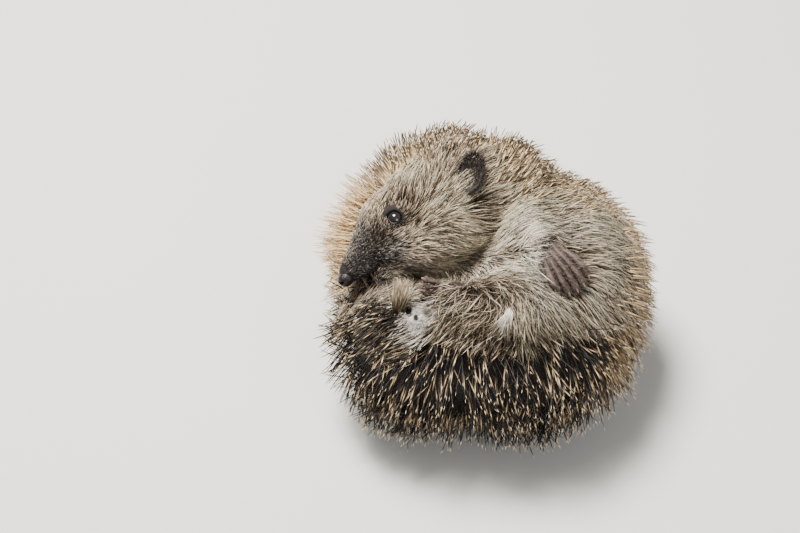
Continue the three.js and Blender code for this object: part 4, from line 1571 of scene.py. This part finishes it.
def ear_fuzz(at, up, out, h, w, count, seed):
    rg = np.random.default_rng(seed)
    side = np.cross(out, up)
    a = rg.random(count) * 2 * math.pi
    r = np.sqrt(rg.random(count)) * 0.96
    rim = rg.random(count) < 0.45
    r[rim] = 0.93 + 0.05 * rg.random(rim.sum())
    px_, py_ = np.cos(a) * r * h, np.sin(a) * r * w
    face = np.where(rg.random(count) < 0.6, 1.0, -1.0)
    edge = np.sqrt(np.clip(1 - r**2, 0, 1))
    z = np.where(face > 0, edge * 2.5 - 2.7 * np.sqrt(np.clip(1 - (r / 0.87) ** 2, 0, 1)), -edge * 2.4)
    root = at + px_[:, None] * up + py_[:, None] * side + z[:, None] * out
    radial = unit(np.cos(a)[:, None] * up * 0.9 + np.sin(a)[:, None] * side)
    d = unit(up * 0.9 + radial * (0.3 + 0.8 * rim)[:, None] + out * (0.25 * face)[:, None] + rg.normal(size=(count, 3)) * 0.25)
    L = (0.9 + 1.0 * rg.random(count)) * np.where(rim, 1.2, 1.0)
    K4 = FUR_KNOTS
    path = root[:, None] + d[:, None] * (L[:, None] * K4)[..., None] + radial[:, None] * 0.0
    path += (up * 0.35)[None, None] * (K4**2)[None, :, None]
    radius = (0.055 + 0.03 * rg.random(count))[:, None] * np.array([0.8, 1.0, 0.75, 0.05])
    return root, path, radius, np.tile(out, (count, 1)).astype(float), rg


lay(["fur_ear_left"], ear_fuzz(EAR_AT, EAR_UP, EAR_OUT, EAR_H, EAR_W, 1500, 31), "fur", ear_tones)
lay(["fur_ear_right"], ear_fuzz(EAR2_AT, EAR2_UP, EAR2_OUT, EAR_H, EAR_W, 1200, 32), "fur", ear_tones)


# tail: a pencil of stiff striped hair
def tail_hair(count, seed):
    rg = np.random.default_rng(seed)
    ax = unit(TAIL[1] - TAIL[0])
    a0 = unit(np.cross(ax, VT))
    b0 = np.cross(ax, a0)
    s = rg.random(count) * 0.6 - 0.06
    ph = rg.random(count) * 2 * math.pi
    r = 1.7 - 1.0 * s
    rad = np.cos(ph)[:, None] * a0 + np.sin(ph)[:, None] * b0
    root = TAIL[0] + (TAIL[1] - TAIL[0]) * s[:, None] + rad * r[:, None]
    d = unit(ax + rad * 0.05 + rg.normal(size=(count, 3)) * 0.09)
    L = ((1 - s) * np.linalg.norm(TAIL[1] - TAIL[0]) + 0.8) * (0.55 + 0.45 * rg.random(count))
    path = root[:, None] + d[:, None] * (L[:, None] * FUR_KNOTS)[..., None]
    path += (rad * 0.15)[:, None] * (FUR_KNOTS**2)[None, :, None]
    radius = (0.12 + 0.08 * rg.random(count))[:, None] * np.array([0.8, 1.0, 0.75, 0.05])
    return root, path, radius, rad, rg


def tail_tones(P, own, rg):
    rows = lambda *c: np.tile(srgb(*c), (len(P), 1))
    w = rg.random(len(P))
    w = w**1.5
    return rows(26, 20, 17), mix(rows(46, 35, 29), srgb(160, 138, 108), w), mix(rows(60, 46, 36), srgb(214, 198, 168), w)


lay(["fur_tail"], tail_hair(620, 33), "fur", tail_tones)


# whiskers
def whiskers(seed):
    rg = np.random.default_rng(seed)
    paths, radii, ups, roots = [], [], [], []
    t = np.linspace(0, 1, 9)
    for sgn in (1, -1):
        for row in range(3):
            for k in range(5):
                f0, d0 = 45 - 2.6 * k + rg.normal() * 0.3, 2.4 - 1.9 * row + rg.normal() * 0.2
                start = hp(f0, d0, sgn * 2.0)
                s, g = gradient(skin_shape, start[None].astype(f32))
                start = start + (g * (-s - 0.2)[:, None])[0]
                d = unit(g[0] * 0.75 + FWD * (0.28 - 0.16 * k) - CROWN * 0.12 * row + rg.normal(size=3) * 0.08)
                L = 7 + 2.2 * k + rg.random() * 2
                droop = -FWD * 2.2 - CROWN * 0.8
                paths.append(start + d * (L * t)[:, None] + droop * (t**2)[:, None])
                radii.append(0.055 * (1 - t) ** 0.8 + 0.012)
                ups.append(np.cross(d, CROWN))
                roots.append(start)
    p = inside_box(np.array(paths))
    c = np.tile(np.linspace(0, 1, 9)[None, :, None], (len(p), 1, 3))
    cols = srgb(40, 34, 32) * (1 - c) + srgb(120, 108, 98) * c
    return build_strands("whiskers", above_floor(p, np.array(radii)), np.array(radii), 1.0, unit(np.array(ups)), 5, cols, np.array(roots))


put(whiskers(41), FUR_MAT, "fur")

# ------------------------------------------------------------------ stage, camera and light
floor_me = bpy.data.meshes.new("floor")
R = 3.0
floor_me.from_pydata([(-R, -R, 0), (R, -R, 0), (R, R, 0), (-R, R, 0)], [], [(0, 1, 2, 3)])
floor = bpy.data.objects.new("floor", floor_me)
bpy.context.scene.collection.objects.link(floor)
FLOOR_MAT, nt, b = material("floor_pale", 0.7)
b.inputs["Base Color"].default_value = (0.62, 0.61, 0.59, 1)
floor_me.materials.append(FLOOR_MAT)

cam_data = bpy.data.cameras.new("camera")
cam_data.lens = LENS
cam_data.sensor_width = SENSOR
cam_data.clip_start = 0.01
cam = bpy.data.objects.new("camera", cam_data)
bpy.context.scene.collection.objects.link(cam)
cam.location = world(EYE_POINT)
cam.rotation_euler = (math.pi / 2 - TILT, 0, 0)
bpy.context.scene.camera = cam


def area(name, at, aim, size, power, colour=(1, 1, 1)):
    d = bpy.data.lights.new(name, "AREA")
    d.shape = "DISK"
    d.size = size
    d.energy = power
    d.color = colour
    o = bpy.data.objects.new(name, d)
    bpy.context.scene.collection.objects.link(o)
    at, aim = np.array(at, float), np.array(aim, float)
    o.location = at
    z = unit(at - aim)
    x = unit(np.cross([0, 0.2, 1.0], z))
    y = np.cross(z, x)
    from mathutils import Matrix
    o.rotation_euler = Matrix(np.stack([x, y, z], 1).tolist()).to_euler()
    return o


area("key", (-0.22, 0.22, 0.85), (0, 0, 0.04), 0.34, 30.5, (1.0, 0.965, 0.91))
area("fill", (0.45, -0.6, 0.5), (0, 0, 0.04), 0.6, 2.8, (0.98, 0.98, 1.0))
w = bpy.data.worlds.new("sky")
bpy.context.scene.world = w
w.use_nodes = True
nt = w.node_tree
co = node(nt, "ShaderNodeTexCoord")
sep = node(nt, "ShaderNodeSeparateXYZ")
nt.links.new(co.outputs["Generated"], sep.inputs["Vector"])
ramp = node(nt, "ShaderNodeValToRGB")
ramp.color_ramp.elements[0].position = 0.1
ramp.color_ramp.elements[0].color = (0.20, 0.21, 0.23, 1)
ramp.color_ramp.elements[1].position = 0.95
ramp.color_ramp.elements[1].color = (0.97, 0.95, 0.91, 1)
nt.links.new(sep.outputs["Z"], ramp.inputs["Fac"])
nt.links.new(ramp.outputs["Color"], nt.nodes["Background"].inputs["Color"])
nt.nodes["Background"].inputs["Strength"].default_value = 0.5
